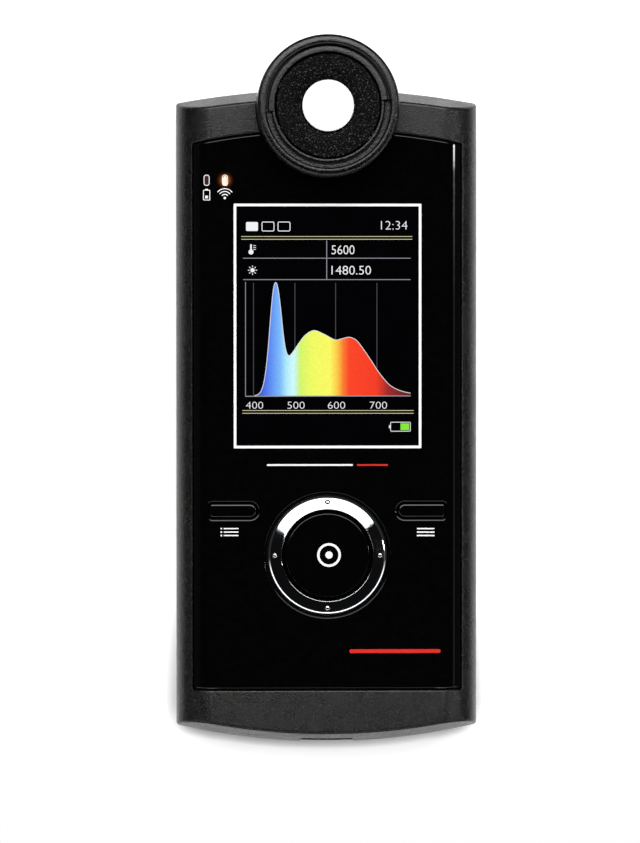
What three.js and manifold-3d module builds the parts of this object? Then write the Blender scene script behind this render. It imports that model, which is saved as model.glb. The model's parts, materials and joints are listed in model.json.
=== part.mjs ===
// Handheld light spectrometer, lying on its back.
// The origin is on the back under the middle of the whole outline.
// +X is the user's right, +Y points to the measuring head and +Z out of the display. Lengths are millimetres.
import * as THREE from 'three';
import { mergeVertices } from 'three/addons/utils/BufferGeometryUtils.js';
import Module from 'manifold-3d';

const wasm = await Module();
wasm.setup();

// Housing
const bodyWidth = 60;
const bodyLength = 130.3;
const bodyDepth = 23;
const topCrown = 2.8;
const bottomCrown = 3.5;
const endLean = 2.15;
const shoulderHeight = 7.5;
const shoulderWidth = 6.8;
const shoulderPower = 1.4;
const rearRadius = 3.5;
const wall = 2;
const backWall = 2;
const innerFillet = 1.2;
const deckThickness = 1.25;
const deckRoom = 5.85;
const seamGap = 0.3;
const lipWidth = 0.9;
const lipHeight = 1.3;
const ledgeHeight = 1.5;

// Measuring head
const headRadius = 14.05;
const headRise = 7;
const headOverhang = 10.2;
const drumWall = 1.6;
const rimHeight = 4.5;
const notchGap = 0.3;
const notchWall = 1.6;
const notchFloor = 2.6;
const rimFloor = 1.1;
const rimCrestWidth = 0.6;
const rimRound = 0.9;
const rimWidth = 2.05;
const spigotDepth = 1.8;
const spigotWidth = 1;
const rampWidth = 1.35;
const rampRise = 1;
const rampDrop = 2.3;
const rampStart = 6;
const discGap = 0.7;
const discDrop = 0.9;
const discThickness = 1.9;
const discRound = 0.45;
const diffuserRadius = 5.1;
const diffuserThickness = 1.2;
const diffuserSink = 0.15;
const diffuserSeat = 0.7;
const sealRadius = 4.3;
const sealThickness = 0.5;
const tubeRadius = 5.2;
const tubeTopBore = 3.6;
const tubeEndBore = 2.2;
const sensorSide = 2.4;
const sensorEnd = 6.2;
const sensorHeight = 10.1;
const sensorChamfer = 0.6;
const sensorBoardThickness = 1.2;
const capThickness = 2;
const ledgeWidth = 1.2;
const ledgeThickness = 1;
const slotWidth = 11;
const slotHeight = 2;
const headScrewInset = 3.95;

// Front panel
const panelSide = 3.25;
const panelTopMargin = 8.15;
const panelCrown = 3.5;
const panelBottomMargin = 10.75;
const panelThickness = 1.5;
const panelEdgeThickness = 1.2;
const panelSink = 0.1;
const panelGap = 0.25;
const adhesive = 0.25;

// Display
const windowSide = 8.7;
const windowTopMargin = 15.4;
const windowToKeys = 12.95;
const windowGap = 0.2;
const gasketWidth = 0.75;
const moduleSide = 2.3;
const moduleEnd = 2.8;
const moduleThickness = 2.4;
const moduleRound = 1;
const moduleShift = 0.3;

// Lamp windows above the display
const lampWidth = 0.7;
const lampLength = 1.7;
const lampInset = 2.83;
const lampPitch = 3.65;
const lampDrop = 10.2;
const lampGap = 0.15;
const ledWidth = 1.2;
const ledLength = 1.6;
const ledHeight = 0.7;

// Keys
const keySide = 3.4;
const keyFromRing = 2.25;
const keyWidth = 2.7;
const keyCorner = 0.5;
const keyDish = 0.75;
const keyDishDepth = 0.6;
const keySink = 0.05;
const keyRise = 35.75;
const keyGap = 0.25;
const keyTravel = 0.5;
const keyFlangeInset = 0.45;
const keyFlangeWidth = 5.4;
const keyFlangeThickness = 0.8;
const stemRadius = 1.2;

// Navigation ring and measure key
const ringOuter = 11.8;
const ringInner = 9.1;
const ringDish = 0.75;
const ringInnerRise = 1.2;
const ringOuterRise = 0.2;
const ringRound = 0.35;
const ringLip = 2.4;
const ringBore = 9.8;
const ringFlange = 1.1;
const ringFlangeThickness = 0.8;
const ringGap = 0.3;
const navigationRise = 26.9;
const rockRoom = 0.7;
const nubRadius = 0.8;
const nubOrbit = 10.9;
const directions = 4;
const webThickness = 0.7;
const webWidth = 3.3;
const measureRadius = 8.3;
const measureRise = 0.8;
const measureFlange = 9.35;
const measureFlangeThickness = 0.6;
const measureFlangeDrop = 3.1;
const measureRound = 0.5;
const measureStem = 2;

// Main board
const boardThickness = 1.6;
const boardMargin = 1.2;
const boardTopMargin = 13.5;
const boardBottomMargin = 13.2;
const tongueWidth = 20;
const tongueReach = 9.6;
const switchSize = 4.5;
const switchHeight = 1.2;
const plungerRadius = 1.1;
const plungerHeight = 0.5;
const switchRoom = 0.15;
const solderGap = 0.3;
const chipHeight = 1.1;
const processorSize = 12;
const memoryWidth = 9;
const memoryLength = 7;
const radioWidth = 12;
const radioLength = 16;
const radioHeight = 2.2;
const socketWidth = 14;
const socketLength = 14.6;
const socketHeight = 1.9;
const socketDrop = 13.7;
const cardWidth = 11;
const cardLength = 15;
const cardThickness = 0.8;
const cardGap = 0.2;
const connectorWidth = 9;
const connectorLength = 3;
const connectorHeight = 1;
const flexWidth = 7;
const flexThickness = 0.3;
const displayFlexWidth = 16;
const flexBend = 1.1;
const flexReach = 3;

// Charging and data socket in the lower end
const usbWidth = 7.5;
const usbHeight = 2.6;
const usbLength = 5.4;
const usbWall = 0.3;
const usbSink = 1.5;
const usbPlugWidth = 10.6;
const usbPlugHeight = 5.4;
const usbPlugDepth = 0.9;
const usbTongue = 0.7;

// Battery, its bay and its door
const batterySide = 13;
const batteryFromInsert = 16.45;
const batteryRound = 1.6;
const batteryGap = 0.6;
const bayWall = 1.3;
const bayCeiling = 1.2;
const bayRoom = 0.45;
const bayBottomMargin = 24.2;
const contactWidth = 10;
const contactDepth = 1.8;
const contactDrop = 1.2;
const doorSide = 2.5;
const doorThickness = 1.8;
const doorOverlap = 2;
const doorGap = 0.3;
const doorTongue = 0.9;
const doorTongueThickness = 0.7;
const doorTongueInset = 4;
const doorBacking = 1.4;
const gripWidth = 16;
const gripRib = 0.8;
const gripPitch = 1.8;
const gripDepth = 0.5;
const gripCount = 5;
const gripMargin = 9;
const labelSide = 3.5;
const labelLength = 26;
const labelThickness = 0.25;
const labelDepth = 0.45;
const labelGap = 0.15;
const labelRound = 1.5;

// Tripod insert in the back
const tripodBore = 3.2;
const tripodRadius = 4.75;
const tripodFloor = 1;
const tripodCover = 0.15;
const tripodSink = 0.15;
const tripodDrop = 36.05;
const bossWall = 1.7;

// Screws
const caseScrewInset = 6;
const caseScrewTopMargin = 9.55;
const caseScrewBottomMargin = 9.75;
const caseShaft = 1.05;
const caseScrewRoom = 2.9;
const caseHead = 2;
const caseHeadHeight = 1.3;
const caseHeadSink = 1;
const caseBoss = 2.7;
const boardScrewInset = 2.3;
const boardScrewTopMargin = 30.05;
const boardScrewBottomMargin = 25.25;
const boardShaft = 0.8;
const boardScrewLength = 6.2;
const boardHead = 1.6;
const boardHeadHeight = 1.2;
const boardBoss = 1.9;
const headShaft = 0.9;
const headScrewLength = 4.2;
const headHead = 1.7;
const headHeadHeight = 1;
const headHeadSink = 0.4;
const driveRadius = 0.7;
const driveDepth = 0.6;
const driveSides = 6;
const screwGap = 0.25;

// How far a cutting shape runs past the faces it cuts
const overrun = 3;

// Steps along curves
const crownSteps = 12;
const shoulderSteps = 6;
const rearSteps = 3;
const roundSteps = 48;
const screwSteps = 12;
const smallSteps = 12;
const cornerSteps = 3;

// Places worked out from the sizes above
const halfWidth = bodyWidth / 2;
const overallLength = bodyLength + headOverhang;
const bodyBottom = -overallLength / 2;
const bodyTop = bodyBottom + bodyLength;
const headY = overallLength / 2 - headRadius;
const headHeight = bodyDepth + headRise;
const widestHeight = bodyDepth - shoulderHeight;
const flatHalf = halfWidth - shoulderWidth;
const deckTop = bodyDepth - panelSink - panelThickness - adhesive;
const deckUnder = deckTop - deckThickness;
const panelHalf = halfWidth - panelSide;
const panelTop = bodyTop - panelTopMargin;
const panelBottom = bodyBottom + panelBottomMargin;
const panelFace = bodyDepth - panelSink;
const panelUnder = panelFace - panelThickness;
const keyOuterEnd = panelHalf - keySide;
const keyInnerEnd = ringOuter + keyFromRing;
const keyLength = keyOuterEnd - keyInnerEnd;
const keyX = (keyOuterEnd + keyInnerEnd) / 2;
const keyY = panelBottom + keyRise;
const windowTop = panelTop - windowTopMargin;
const windowBottom = keyY + windowToKeys;
const windowWidth = 2 * (panelHalf - windowSide);
const windowLength = windowTop - windowBottom;
const displayY = (windowTop + windowBottom) / 2;
const moduleWidth = windowWidth + 2 * moduleSide;
const moduleLength = windowLength + 2 * moduleEnd;
const navigationY = panelBottom + navigationRise;
const lampY = panelTop - lampDrop;
const drumBore = headRadius - drumWall;
const headScrewX = drumBore - headScrewInset;
const notchRadius = headRadius + notchGap;
const notchOuter = notchRadius + notchWall;
const boardTop = deckUnder - deckRoom;
const boardUnder = boardTop - boardThickness;
const underBoard = boardUnder - solderGap;
const lipTop = boardUnder - seamGap;
const rearTop = lipTop - lipHeight;
const frontBase = rearTop + seamGap;
const boardHalf = halfWidth - wall - seamGap - lipWidth - boardMargin;
const plungerTop = boardTop + switchHeight + plungerHeight;
const keyStemEnd = plungerTop + keyTravel + switchRoom;
const tripodY = bodyTop - tripodDrop;
const batteryWidth = bodyWidth - 2 * batterySide;
const bayBottom = bodyBottom + bayBottomMargin;
const bayTop = tripodY - batteryFromInsert;
const bayHigh = underBoard - radioHeight - bayRoom - bayCeiling;
const bayHalf = (batteryWidth + batteryGap) / 2;
const batteryLow = doorThickness + doorGap + batteryGap / 2;
const batteryLength = bayTop - bayBottom - batteryGap;
const batteryThickness = bayHigh - batteryGap / 2 - batteryLow;
const doorTop = bayTop + doorOverlap;
const doorHalf = batteryWidth / 2 + doorSide;
const recessHigh = doorThickness + doorGap;
const labelWidth = 2 * (doorHalf - labelSide);
const insertTop = bayHigh - tripodCover;
const caseScrewX = halfWidth - caseScrewInset;
const caseScrewLength = deckUnder - caseScrewRoom - caseHeadSink;
const boardScrewX = boardHalf - boardScrewInset;
const deviceLow = -overrun;
const deviceHigh = headHeight + overrun;

// Joining and cutting

function solid(geometry) {
  geometry.deleteAttribute('normal');
  geometry.deleteAttribute('uv');
  const welded = mergeVertices(geometry);
  const index = welded.index.array;
  const triangles = [];
  for (let i = 0; i < index.length; i += 3) {
    const corners = [index[i], index[i + 1], index[i + 2]];
    if (new Set(corners).size === corners.length) triangles.push(...corners);
  }
  const mesh = new wasm.Mesh({
    numProp: 3,
    vertProperties: new Float32Array(welded.attributes.position.array),
    triVerts: new Uint32Array(triangles),
  });
  return new wasm.Manifold(mesh);
}

function joined(...parts) {
  return parts.reduce((whole, part) => whole.add(part));
}

function cut(body, ...tools) {
  return tools.reduce((rest, tool) => rest.subtract(tool), body);
}

// A box between two corners
function block(xLow, xHigh, yLow, yHigh, zLow, zHigh) {
  const geometry = new THREE.BoxGeometry(xHigh - xLow, yHigh - yLow, zHigh - zLow);
  geometry.translate((xLow + xHigh) / 2, (yLow + yHigh) / 2, (zLow + zHigh) / 2);
  return solid(geometry);
}

// A box given by its middle in plan
function slab(width, length, zLow, zHigh, x = 0, y = 0) {
  return block(x - width / 2, x + width / 2, y - length / 2, y + length / 2, zLow, zHigh);
}

// An upright round bar
function bar(radius, zLow, zHigh, x = 0, y = 0, steps = roundSteps) {
  const geometry = new THREE.CylinderGeometry(radius, radius, zHigh - zLow, steps);
  geometry.rotateX(Math.PI / 2);
  geometry.translate(x, y, (zLow + zHigh) / 2);
  return solid(geometry);
}

// An upright prism of a drawn outline
function prism(shape, zLow, zHigh, x = 0, y = 0) {
  const geometry = new THREE.ExtrudeGeometry(shape, {
    depth: zHigh - zLow,
    bevelEnabled: false,
    curveSegments: cornerSteps,
  });
  geometry.translate(x, y, zLow);
  return solid(geometry);
}

// A section drawn across the device, [x, z], run along its length
function alongY(section, yLow, yHigh) {
  const shape = new THREE.Shape(section.map(([x, z]) => new THREE.Vector2(x, z)));
  const geometry = new THREE.ExtrudeGeometry(shape, { depth: yHigh - yLow, bevelEnabled: false });
  geometry.rotateX(Math.PI / 2);
  geometry.translate(0, yHigh, 0);
  return solid(geometry);
}

// A section drawn from the side, [y, z], run across the device
function alongX(section, xLow, xHigh) {
  const shape = new THREE.Shape(section.map(([y, z]) => new THREE.Vector2(y, z)));
  const geometry = new THREE.ExtrudeGeometry(shape, { depth: xHigh - xLow, bevelEnabled: false });
  geometry.rotateX(Math.PI / 2);
  geometry.rotateZ(Math.PI / 2);
  geometry.translate(xLow, 0, 0);
  return solid(geometry);
}

// A turned piece: its profile, [radius, height], runs anticlockwise
function turned(profile, steps = roundSteps, y = 0) {
  const points = profile.map(([radius, height]) => new THREE.Vector2(radius, height));
  const geometry = new THREE.LatheGeometry(points, steps);
  geometry.rotateX(Math.PI / 2);
  geometry.translate(0, y, 0);
  return solid(geometry);
}

// Level rings of points, each anticlockwise, joined from the lowest to the highest
function loft(rings) {
  const count = rings[0].length;
  const outline = rings[0].map(([x, y]) => new THREE.Vector2(x, y));
  const cap = THREE.ShapeUtils.triangulateShape(outline, []);
  const top = (rings.length - 1) * count;
  const triangles = [];
  for (const [a, b, c] of cap) {
    triangles.push(a, c, b, top + a, top + b, top + c);
  }
  for (let level = 0; level < rings.length - 1; level += 1) {
    for (let i = 0; i < count; i += 1) {
      const a = level * count + i;
      const b = level * count + (i + 1) % count;
      triangles.push(a, b, b + count, a, b + count, a + count);
    }
  }
  const geometry = new THREE.BufferGeometry();
  geometry.setAttribute('position', new THREE.Float32BufferAttribute(rings.flat(2), 3));
  geometry.setIndex(triangles);
  return solid(geometry);
}

// Outlines

function roundedOutline(width, length, radius) {
  const x = width / 2 - radius;
  const y = length / 2 - radius;
  const shape = new THREE.Shape();
  shape.absarc(x, y, radius, 0, Math.PI / 2);
  shape.absarc(-x, y, radius, Math.PI / 2, Math.PI);
  shape.absarc(-x, -y, radius, Math.PI, Math.PI * 3 / 2);
  shape.absarc(x, -y, radius, Math.PI * 3 / 2, Math.PI * 2);
  return shape;
}

// A key's outline, anticlockwise: small corners on its outer end, a half circle on its inner end
function keyPoints(length, width, corner, inward) {
  const round = width / 2;
  const centre = length / 2 - round;
  const square = corner - length / 2;
  const quarter = Math.PI / 2;
  const shape = new THREE.Shape();
  shape.absarc(centre, 0, round, -quarter, quarter);
  shape.absarc(square, round - corner, corner, quarter, 2 * quarter);
  shape.absarc(square, corner - round, corner, 2 * quarter, 3 * quarter);
  const points = shape.getPoints(cornerSteps);
  if (inward > 0) return points;
  return points.map((point) => new THREE.Vector2(-point.x, point.y)).reverse();
}

function keyOutline(length, width, corner, inward) {
  return new THREE.Shape(keyPoints(length, width, corner, inward));
}

// The housing seen from the front at one level, with its curved ends moved in by an inset
function planRing(half, endInset, height) {
  const ring = [];
  for (let i = 0; i <= crownSteps; i += 1) {
    const x = half * (2 * i / crownSteps - 1);
    ring.push([x, bodyBottom + endInset + bottomCrown * (x / halfWidth) ** 2, height]);
  }
  for (let i = 0; i <= crownSteps; i += 1) {
    const x = half * (1 - 2 * i / crownSteps);
    ring.push([x, bodyTop - endInset - topCrown * (x / halfWidth) ** 2, height]);
  }
  return ring;
}

// The shoulder curve from the widest level, share 0, to the flat front, share 1
function shoulder(share) {
  const angle = share * Math.PI / 2;
  const out = Math.max(0, Math.cos(angle)) ** (2 / shoulderPower);
  const up = Math.sin(angle) ** (2 / shoulderPower);
  return { half: flatHalf + shoulderWidth * out, height: widestHeight + (bodyDepth - widestHeight) * up, up };
}

// Housing

function outerBody() {
  const rings = [];
  for (let i = 0; i < rearSteps; i += 1) {
    const angle = i / rearSteps * Math.PI / 2;
    const inset = rearRadius * (1 - Math.sin(angle));
    rings.push(planRing(halfWidth - inset, inset, rearRadius * (1 - Math.cos(angle))));
  }
  rings.push(planRing(halfWidth, 0, rearRadius));
  for (let i = 0; i <= shoulderSteps; i += 1) {
    const { half, height, up } = shoulder(i / shoulderSteps);
    rings.push(planRing(half, endLean * up, height));
  }
  return loft(rings);
}

function innerSpace() {
  const innerHalf = halfWidth - wall;
  const rise = widestHeight - innerFillet;
  return loft([
    planRing(innerHalf - innerFillet, wall + innerFillet, backWall),
    planRing(innerHalf, wall, backWall + innerFillet),
    planRing(innerHalf, wall, rise),
    planRing(flatHalf + seamGap, wall + endLean, deckUnder),
  ]);
}

// The notch for the head: round below, straight sides to the upper end
function notch(radius, zLow, zHigh) {
  return joined(
    bar(radius, zLow, zHigh, 0, headY),
    block(-radius, radius, headY, bodyTop + overrun, zLow, zHigh),
  );
}

// The panel's section, grown by a gap at its edges and underside and carried up by a lift
function panelSection(gap, lift) {
  const half = panelHalf - panelGap + gap;
  const under = panelUnder - (gap > 0 ? adhesive : 0);
  const bend = flatHalf + adhesive;
  const edge = [];
  for (let i = shoulderSteps; i >= 0; i -= 1) {
    const { half: x, height } = shoulder(i / shoulderSteps);
    if (x < half) edge.push([x, height - panelSink]);
  }
  const inside = edge.length - 1;
  const next = shoulder((shoulderSteps - inside - 1) / shoulderSteps);
  const share = (half - edge[inside][0]) / (next.half - edge[inside][0]);
  const edgeTop = edge[inside][1] + share * (next.height - panelSink - edge[inside][1]);
  const edgeUnder = edgeTop - panelEdgeThickness - (gap > 0 ? adhesive : 0);
  const right = [[bend, under], [half, edgeUnder]];
  if (lift > 0) {
    right.push([half, bodyDepth + lift]);
  } else {
    right.push([half, edgeTop], ...edge.reverse());
  }
  const left = right.map(([x, z]) => [-x, z]).reverse();
  return [...right, ...left];
}

// The panel seen from the front: straight below, crowned above
function panelPlan(gap, zLow, zHigh) {
  const half = panelHalf - panelGap + gap;
  const low = panelBottom + panelGap - gap;
  const high = panelTop - panelGap + gap;
  const shape = new THREE.Shape();
  shape.moveTo(-half, low);
  shape.lineTo(half, low);
  for (let i = 0; i <= crownSteps; i += 1) {
    const x = half * (1 - 2 * i / crownSteps);
    shape.lineTo(x, high - panelCrown * (x / halfWidth) ** 2);
  }
  return prism(shape, zLow, zHigh);
}

function panelBlank(gap, lift) {
  const across = alongY(panelSection(gap, lift), bodyBottom, bodyTop);
  return across.intersect(panelPlan(gap, 0, deviceHigh));
}

// A key's through hole and the dished slot round it
function keyHole(side) {
  const inward = -side;
  const hole = keyOutline(keyLength + 2 * keyGap, keyWidth + 2 * keyGap, keyCorner + keyGap, inward);
  return prism(hole, deckUnder - overrun, deviceHigh, side * keyX, keyY);
}

function keySlot(side) {
  const widths = [keyGap, keyGap + keyDish, keyGap + keyDish * (1 + overrun / keyDishDepth)];
  const heights = [panelFace - keyDishDepth, panelFace, panelFace + overrun];
  const rings = widths.map((grow, level) => {
    const points = keyPoints(keyLength + 2 * grow, keyWidth + 2 * grow, keyCorner + grow, -side);
    return points.map((point) => [side * keyX + point.x, keyY + point.y, heights[level]]);
  });
  return loft(rings);
}

function ringDishCut() {
  const hole = ringOuter + ringGap;
  const profile = [
    [0, panelFace - ringDish],
    [hole, panelFace - ringDish],
    [hole + ringDish, panelFace],
    [hole + ringDish + overrun, panelFace + overrun],
    [0, panelFace + overrun],
  ];
  return turned(profile, roundSteps, navigationY);
}

function lampPlaces() {
  return [0, 1].map((i) => -panelHalf + lampInset + i * lampPitch);
}

function lampHole(x, zLow) {
  const width = lampWidth + 2 * lampGap;
  return prism(roundedOutline(width, lampLength + 2 * lampGap, width / 2), zLow, deviceHigh, x, lampY);
}

function caseScrewPlaces() {
  const places = [];
  for (const side of [-1, 1]) {
    places.push([side * caseScrewX, bodyTop - caseScrewTopMargin]);
    places.push([side * caseScrewX, bodyBottom + caseScrewBottomMargin]);
  }
  return places;
}

function boardScrewPlaces() {
  const places = [];
  for (const side of [-1, 1]) {
    places.push([side * boardScrewX, bodyTop - boardScrewTopMargin]);
    places.push([side * boardScrewX, bodyBottom + boardScrewBottomMargin]);
  }
  return places;
}

function headScrewPlaces() {
  return [-1, 1].map((side) => [side * headScrewX, headY]);
}

const usbFloor = boardTop + solderGap;
const usbMouth = bodyBottom + usbSink;

function usbOpening() {
  const middle = usbFloor + usbHeight / 2;
  const gap = panelGap;
  return joined(
    block(-usbWidth / 2 - gap, usbWidth / 2 + gap, bodyBottom - overrun, usbMouth + usbLength,
      usbFloor - gap, usbFloor + usbHeight + gap),
    block(-usbPlugWidth / 2, usbPlugWidth / 2, bodyBottom - overrun, bodyBottom + usbPlugDepth,
      middle - usbPlugHeight / 2, middle + usbPlugHeight / 2),
  );
}

function frontShell(outer, inner) {
  const upper = block(-bodyWidth, bodyWidth, -overallLength, overallLength, frontBase, deviceHigh);
  const bosses = caseScrewPlaces().map(([x, y]) => bar(caseBoss, frontBase, bodyDepth, x, y, screwSteps));
  const posts = boardScrewPlaces().map(([x, y]) => (
    bar(boardBoss, boardTop + solderGap, bodyDepth, x, y, screwSteps)));
  const surround = notch(notchOuter, frontBase, bodyDepth);
  const inside = joined(surround, ...bosses, ...posts).intersect(outer);
  const shell = joined(cut(outer.intersect(upper), inner), inside);
  const edge = 2 * windowGap + gasketWidth;
  const deckHole = deckUnder - overrun / 2;
  const displayHole = slab(windowWidth + edge, windowLength + edge, deckHole, deviceHigh, 0, displayY);
  const pilotEnd = caseHeadSink + caseScrewLength + screwGap;
  const pilots = caseScrewPlaces().map(([x, y]) => (
    bar(caseShaft + screwGap, frontBase - overrun, pilotEnd, x, y, screwSteps)));
  const boardPilotEnd = boardUnder - solderGap + boardScrewLength + screwGap;
  const boardPilots = boardScrewPlaces().map(([x, y]) => (
    bar(boardShaft + screwGap, boardTop - overrun, boardPilotEnd, x, y, screwSteps)));
  const flexSlot = block(-slotWidth / 2, slotWidth / 2, headY - notchOuter - overrun, headY,
    frontBase - overrun, frontBase + slotHeight);
  return cut(
    shell,
    notch(notchRadius, frontBase - overrun, deviceHigh),
    panelBlank(panelGap, overrun),
    displayHole,
    bar(ringOuter + ringGap, deckUnder - overrun, deviceHigh, 0, navigationY),
    keyHole(-1),
    keyHole(1),
    ...lampPlaces().map((x) => lampHole(x, widestHeight + innerFillet)),
    ...pilots,
    ...boardPilots,
    flexSlot,
    usbOpening(),
  );
}

function rearShell(outer, inner) {
  const lower = block(-bodyWidth, bodyWidth, -overallLength, overallLength, deviceLow, rearTop);
  const lipOuter = halfWidth - wall - seamGap;
  const lipInner = lipOuter - lipWidth;
  const lipEnd = wall + seamGap;
  const rim = cut(
    joined(
      loft([planRing(lipOuter, lipEnd, rearTop - ledgeHeight), planRing(lipOuter, lipEnd, lipTop)]),
      loft([planRing(halfWidth - wall / 2, wall / 2, rearTop - ledgeHeight),
        planRing(halfWidth - wall / 2, wall / 2, rearTop)]),
    ),
    loft([planRing(lipInner, lipEnd + lipWidth, rearTop - ledgeHeight - overrun),
      planRing(lipInner, lipEnd + lipWidth, lipTop + overrun)]),
    bar(notchOuter + seamGap, rearTop, lipTop + overrun, 0, headY),
    block(-notchOuter - seamGap, notchOuter + seamGap, headY, bodyTop, rearTop, lipTop + overrun),
  );
  const pad = doorHalf + doorTongue + doorGap + bayWall;
  const bayBlock = block(-bayHalf - bayWall, bayHalf + bayWall, bayBottom - bayWall,
    bayTop + contactDepth + batteryGap + bayWall, backWall - innerFillet, bayHigh + bayCeiling);
  const backing = block(-pad, pad, bodyBottom, doorTop + doorGap + bayWall, backWall - innerFillet,
    recessHigh + doorBacking);
  const columns = caseScrewPlaces().map(([x, y]) => (
    bar(caseHead + screwGap + bossWall, backWall - innerFillet, rearTop, x, y, screwSteps)));
  const insertRadius = tripodRadius + panelGap;
  const insertEnd = insertTop + panelGap;
  const boss = bar(insertRadius + bossWall, 0, insertEnd + bayCeiling, 0, tripodY);
  const surround = notch(notchOuter, backWall - innerFillet, rearTop);
  const inside = joined(surround, bayBlock, backing, boss, ...columns).intersect(outer);
  const shell = joined(cut(outer.intersect(lower), inner), inside, rim);
  const doorRecess = block(-doorHalf - doorGap, doorHalf + doorGap, bodyBottom - overrun, doorTop + doorGap,
    deviceLow, recessHigh);
  const tongueLow = doorThickness - doorTongueThickness - doorGap;
  const grooves = block(-doorHalf - doorTongue - doorGap, doorHalf + doorTongue + doorGap, bodyBottom - overrun,
    doorTop - doorTongueInset + doorGap, tongueLow, recessHigh);
  const bay = block(-bayHalf, bayHalf, bayBottom, bayTop, 0, bayHigh);
  const contactNiche = slab(contactWidth + batteryGap, contactDepth + batteryGap, 0, bayHigh, 0,
    bayTop + contactDepth / 2);
  const screwHoles = caseScrewPlaces().flatMap(([x, y]) => [
    bar(caseHead + screwGap, deviceLow, caseHeadSink + caseHeadHeight, x, y, screwSteps),
    bar(caseShaft + screwGap, deviceLow, lipTop + overrun, x, y, screwSteps),
  ]);
  const headHoles = headScrewPlaces().flatMap(([x, y]) => [
    bar(headHead + screwGap, deviceLow, headHeadSink + headHeadHeight, x, y, screwSteps),
    bar(headShaft + screwGap, deviceLow, rearTop, x, y, screwSteps),
  ]);
  const insertHole = bar(insertRadius, deviceLow, insertEnd, 0, tripodY);
  return cut(
    shell,
    notch(notchRadius, notchFloor, deviceHigh),
    doorRecess,
    grooves,
    bay,
    contactNiche,
    insertHole,
    ...screwHoles,
    ...headHoles,
  );
}

function frontPanel() {
  const aperture = slab(windowWidth + 2 * windowGap, windowLength + 2 * windowGap, 0, deviceHigh, 0, displayY);
  return cut(
    panelBlank(0, 0),
    aperture,
    bar(notchRadius, 0, deviceHigh, 0, headY),
    bar(ringOuter + ringGap, 0, deviceHigh, 0, navigationY),
    ringDishCut(),
    keyHole(-1),
    keyHole(1),
    keySlot(-1),
    keySlot(1),
    ...lampPlaces().map((x) => lampHole(x, 0)),
  );
}

// Display

const moduleTop = deckUnder - solderGap;
const moduleY = displayY - moduleShift;

function displayModule() {
  const outline = roundedOutline(moduleWidth, moduleLength, moduleRound);
  return prism(outline, moduleTop - moduleThickness, moduleTop, 0, moduleY);
}

function displayGasket() {
  const low = moduleTop + seamGap / 2;
  const high = panelUnder - seamGap / 2;
  const width = windowWidth + gasketWidth / 2;
  const length = windowLength + gasketWidth / 2;
  return cut(
    slab(width, length, low, high, 0, displayY),
    slab(width - 2 * gasketWidth, length - 2 * gasketWidth, 0, deviceHigh, 0, displayY),
  );
}

// The display's flat cable leaves under the module, turns down and comes back over the board
function displayFlex() {
  const upper = moduleTop - moduleThickness - solderGap;
  const lower = boardTop + solderGap;
  const bendHeight = (upper + lower) / 2;
  const bendRadius = (upper - lower) / 2;
  const bendY = moduleY - moduleLength / 2 - flexBend + bendRadius;
  const end = bendY + flexReach;
  const outside = [];
  const inside = [];
  for (let i = 0; i <= smallSteps; i += 1) {
    const angle = Math.PI / 2 + Math.PI * i / smallSteps;
    const [c, s] = [Math.cos(angle), Math.sin(angle)];
    outside.push([bendY + bendRadius * c, bendHeight + bendRadius * s]);
    const tight = bendRadius - flexThickness;
    inside.push([bendY + tight * c, bendHeight + tight * s]);
  }
  const section = [
    [end, upper],
    ...outside,
    [end, lower],
    [end, lower + flexThickness],
    ...inside.reverse(),
    [end, upper - flexThickness],
  ];
  return alongX(section, -displayFlexWidth / 2, displayFlexWidth / 2);
}

// Lamps

function lightPipe(x) {
  const outline = roundedOutline(lampWidth, lampLength, lampWidth / 2);
  return prism(outline, boardTop + ledHeight + solderGap, panelFace, x, lampY);
}

function led(x) {
  return slab(ledWidth, ledLength, boardTop, boardTop + ledHeight, x, lampY);
}

// Keys, each modelled round its own middle

function sideKey(side) {
  const outline = keyOutline(keyLength, keyWidth, keyCorner, -side);
  const flangeLength = keyLength - 2 * keyFlangeInset;
  const flangeTop = deckUnder - seamGap;
  return joined(
    prism(outline, flangeTop - keyFlangeThickness / 2, panelFace - keySink),
    slab(flangeLength, keyFlangeWidth, flangeTop - keyFlangeThickness, flangeTop),
    bar(stemRadius, keyStemEnd, flangeTop - keyFlangeThickness / 2, 0, 0, smallSteps),
  );
}

function measureKey() {
  const measureHeight = panelFace + measureRise;
  const flangeTop = measureHeight - measureFlangeDrop + measureFlangeThickness;
  const flangeLow = flangeTop - measureFlangeThickness;
  return turned([
    [0, keyStemEnd],
    [measureStem, keyStemEnd],
    [measureStem, flangeLow],
    [measureFlange, flangeLow],
    [measureFlange, flangeTop],
    [measureRadius, flangeTop],
    [measureRadius, measureHeight - measureRound],
    [measureRadius - measureRound, measureHeight],
    [0, measureHeight],
  ]);
}

// The four directions round the ring, east first, anticlockwise
function nubPlaces() {
  const places = [];
  for (let i = 0; i < directions; i += 1) {
    const angle = 2 * Math.PI * i / directions;
    places.push([nubOrbit * Math.cos(angle), nubOrbit * Math.sin(angle)]);
  }
  return places;
}

const ringFlangeTop = deckUnder - rockRoom;
const ringUnder = ringFlangeTop - ringFlangeThickness;

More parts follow.
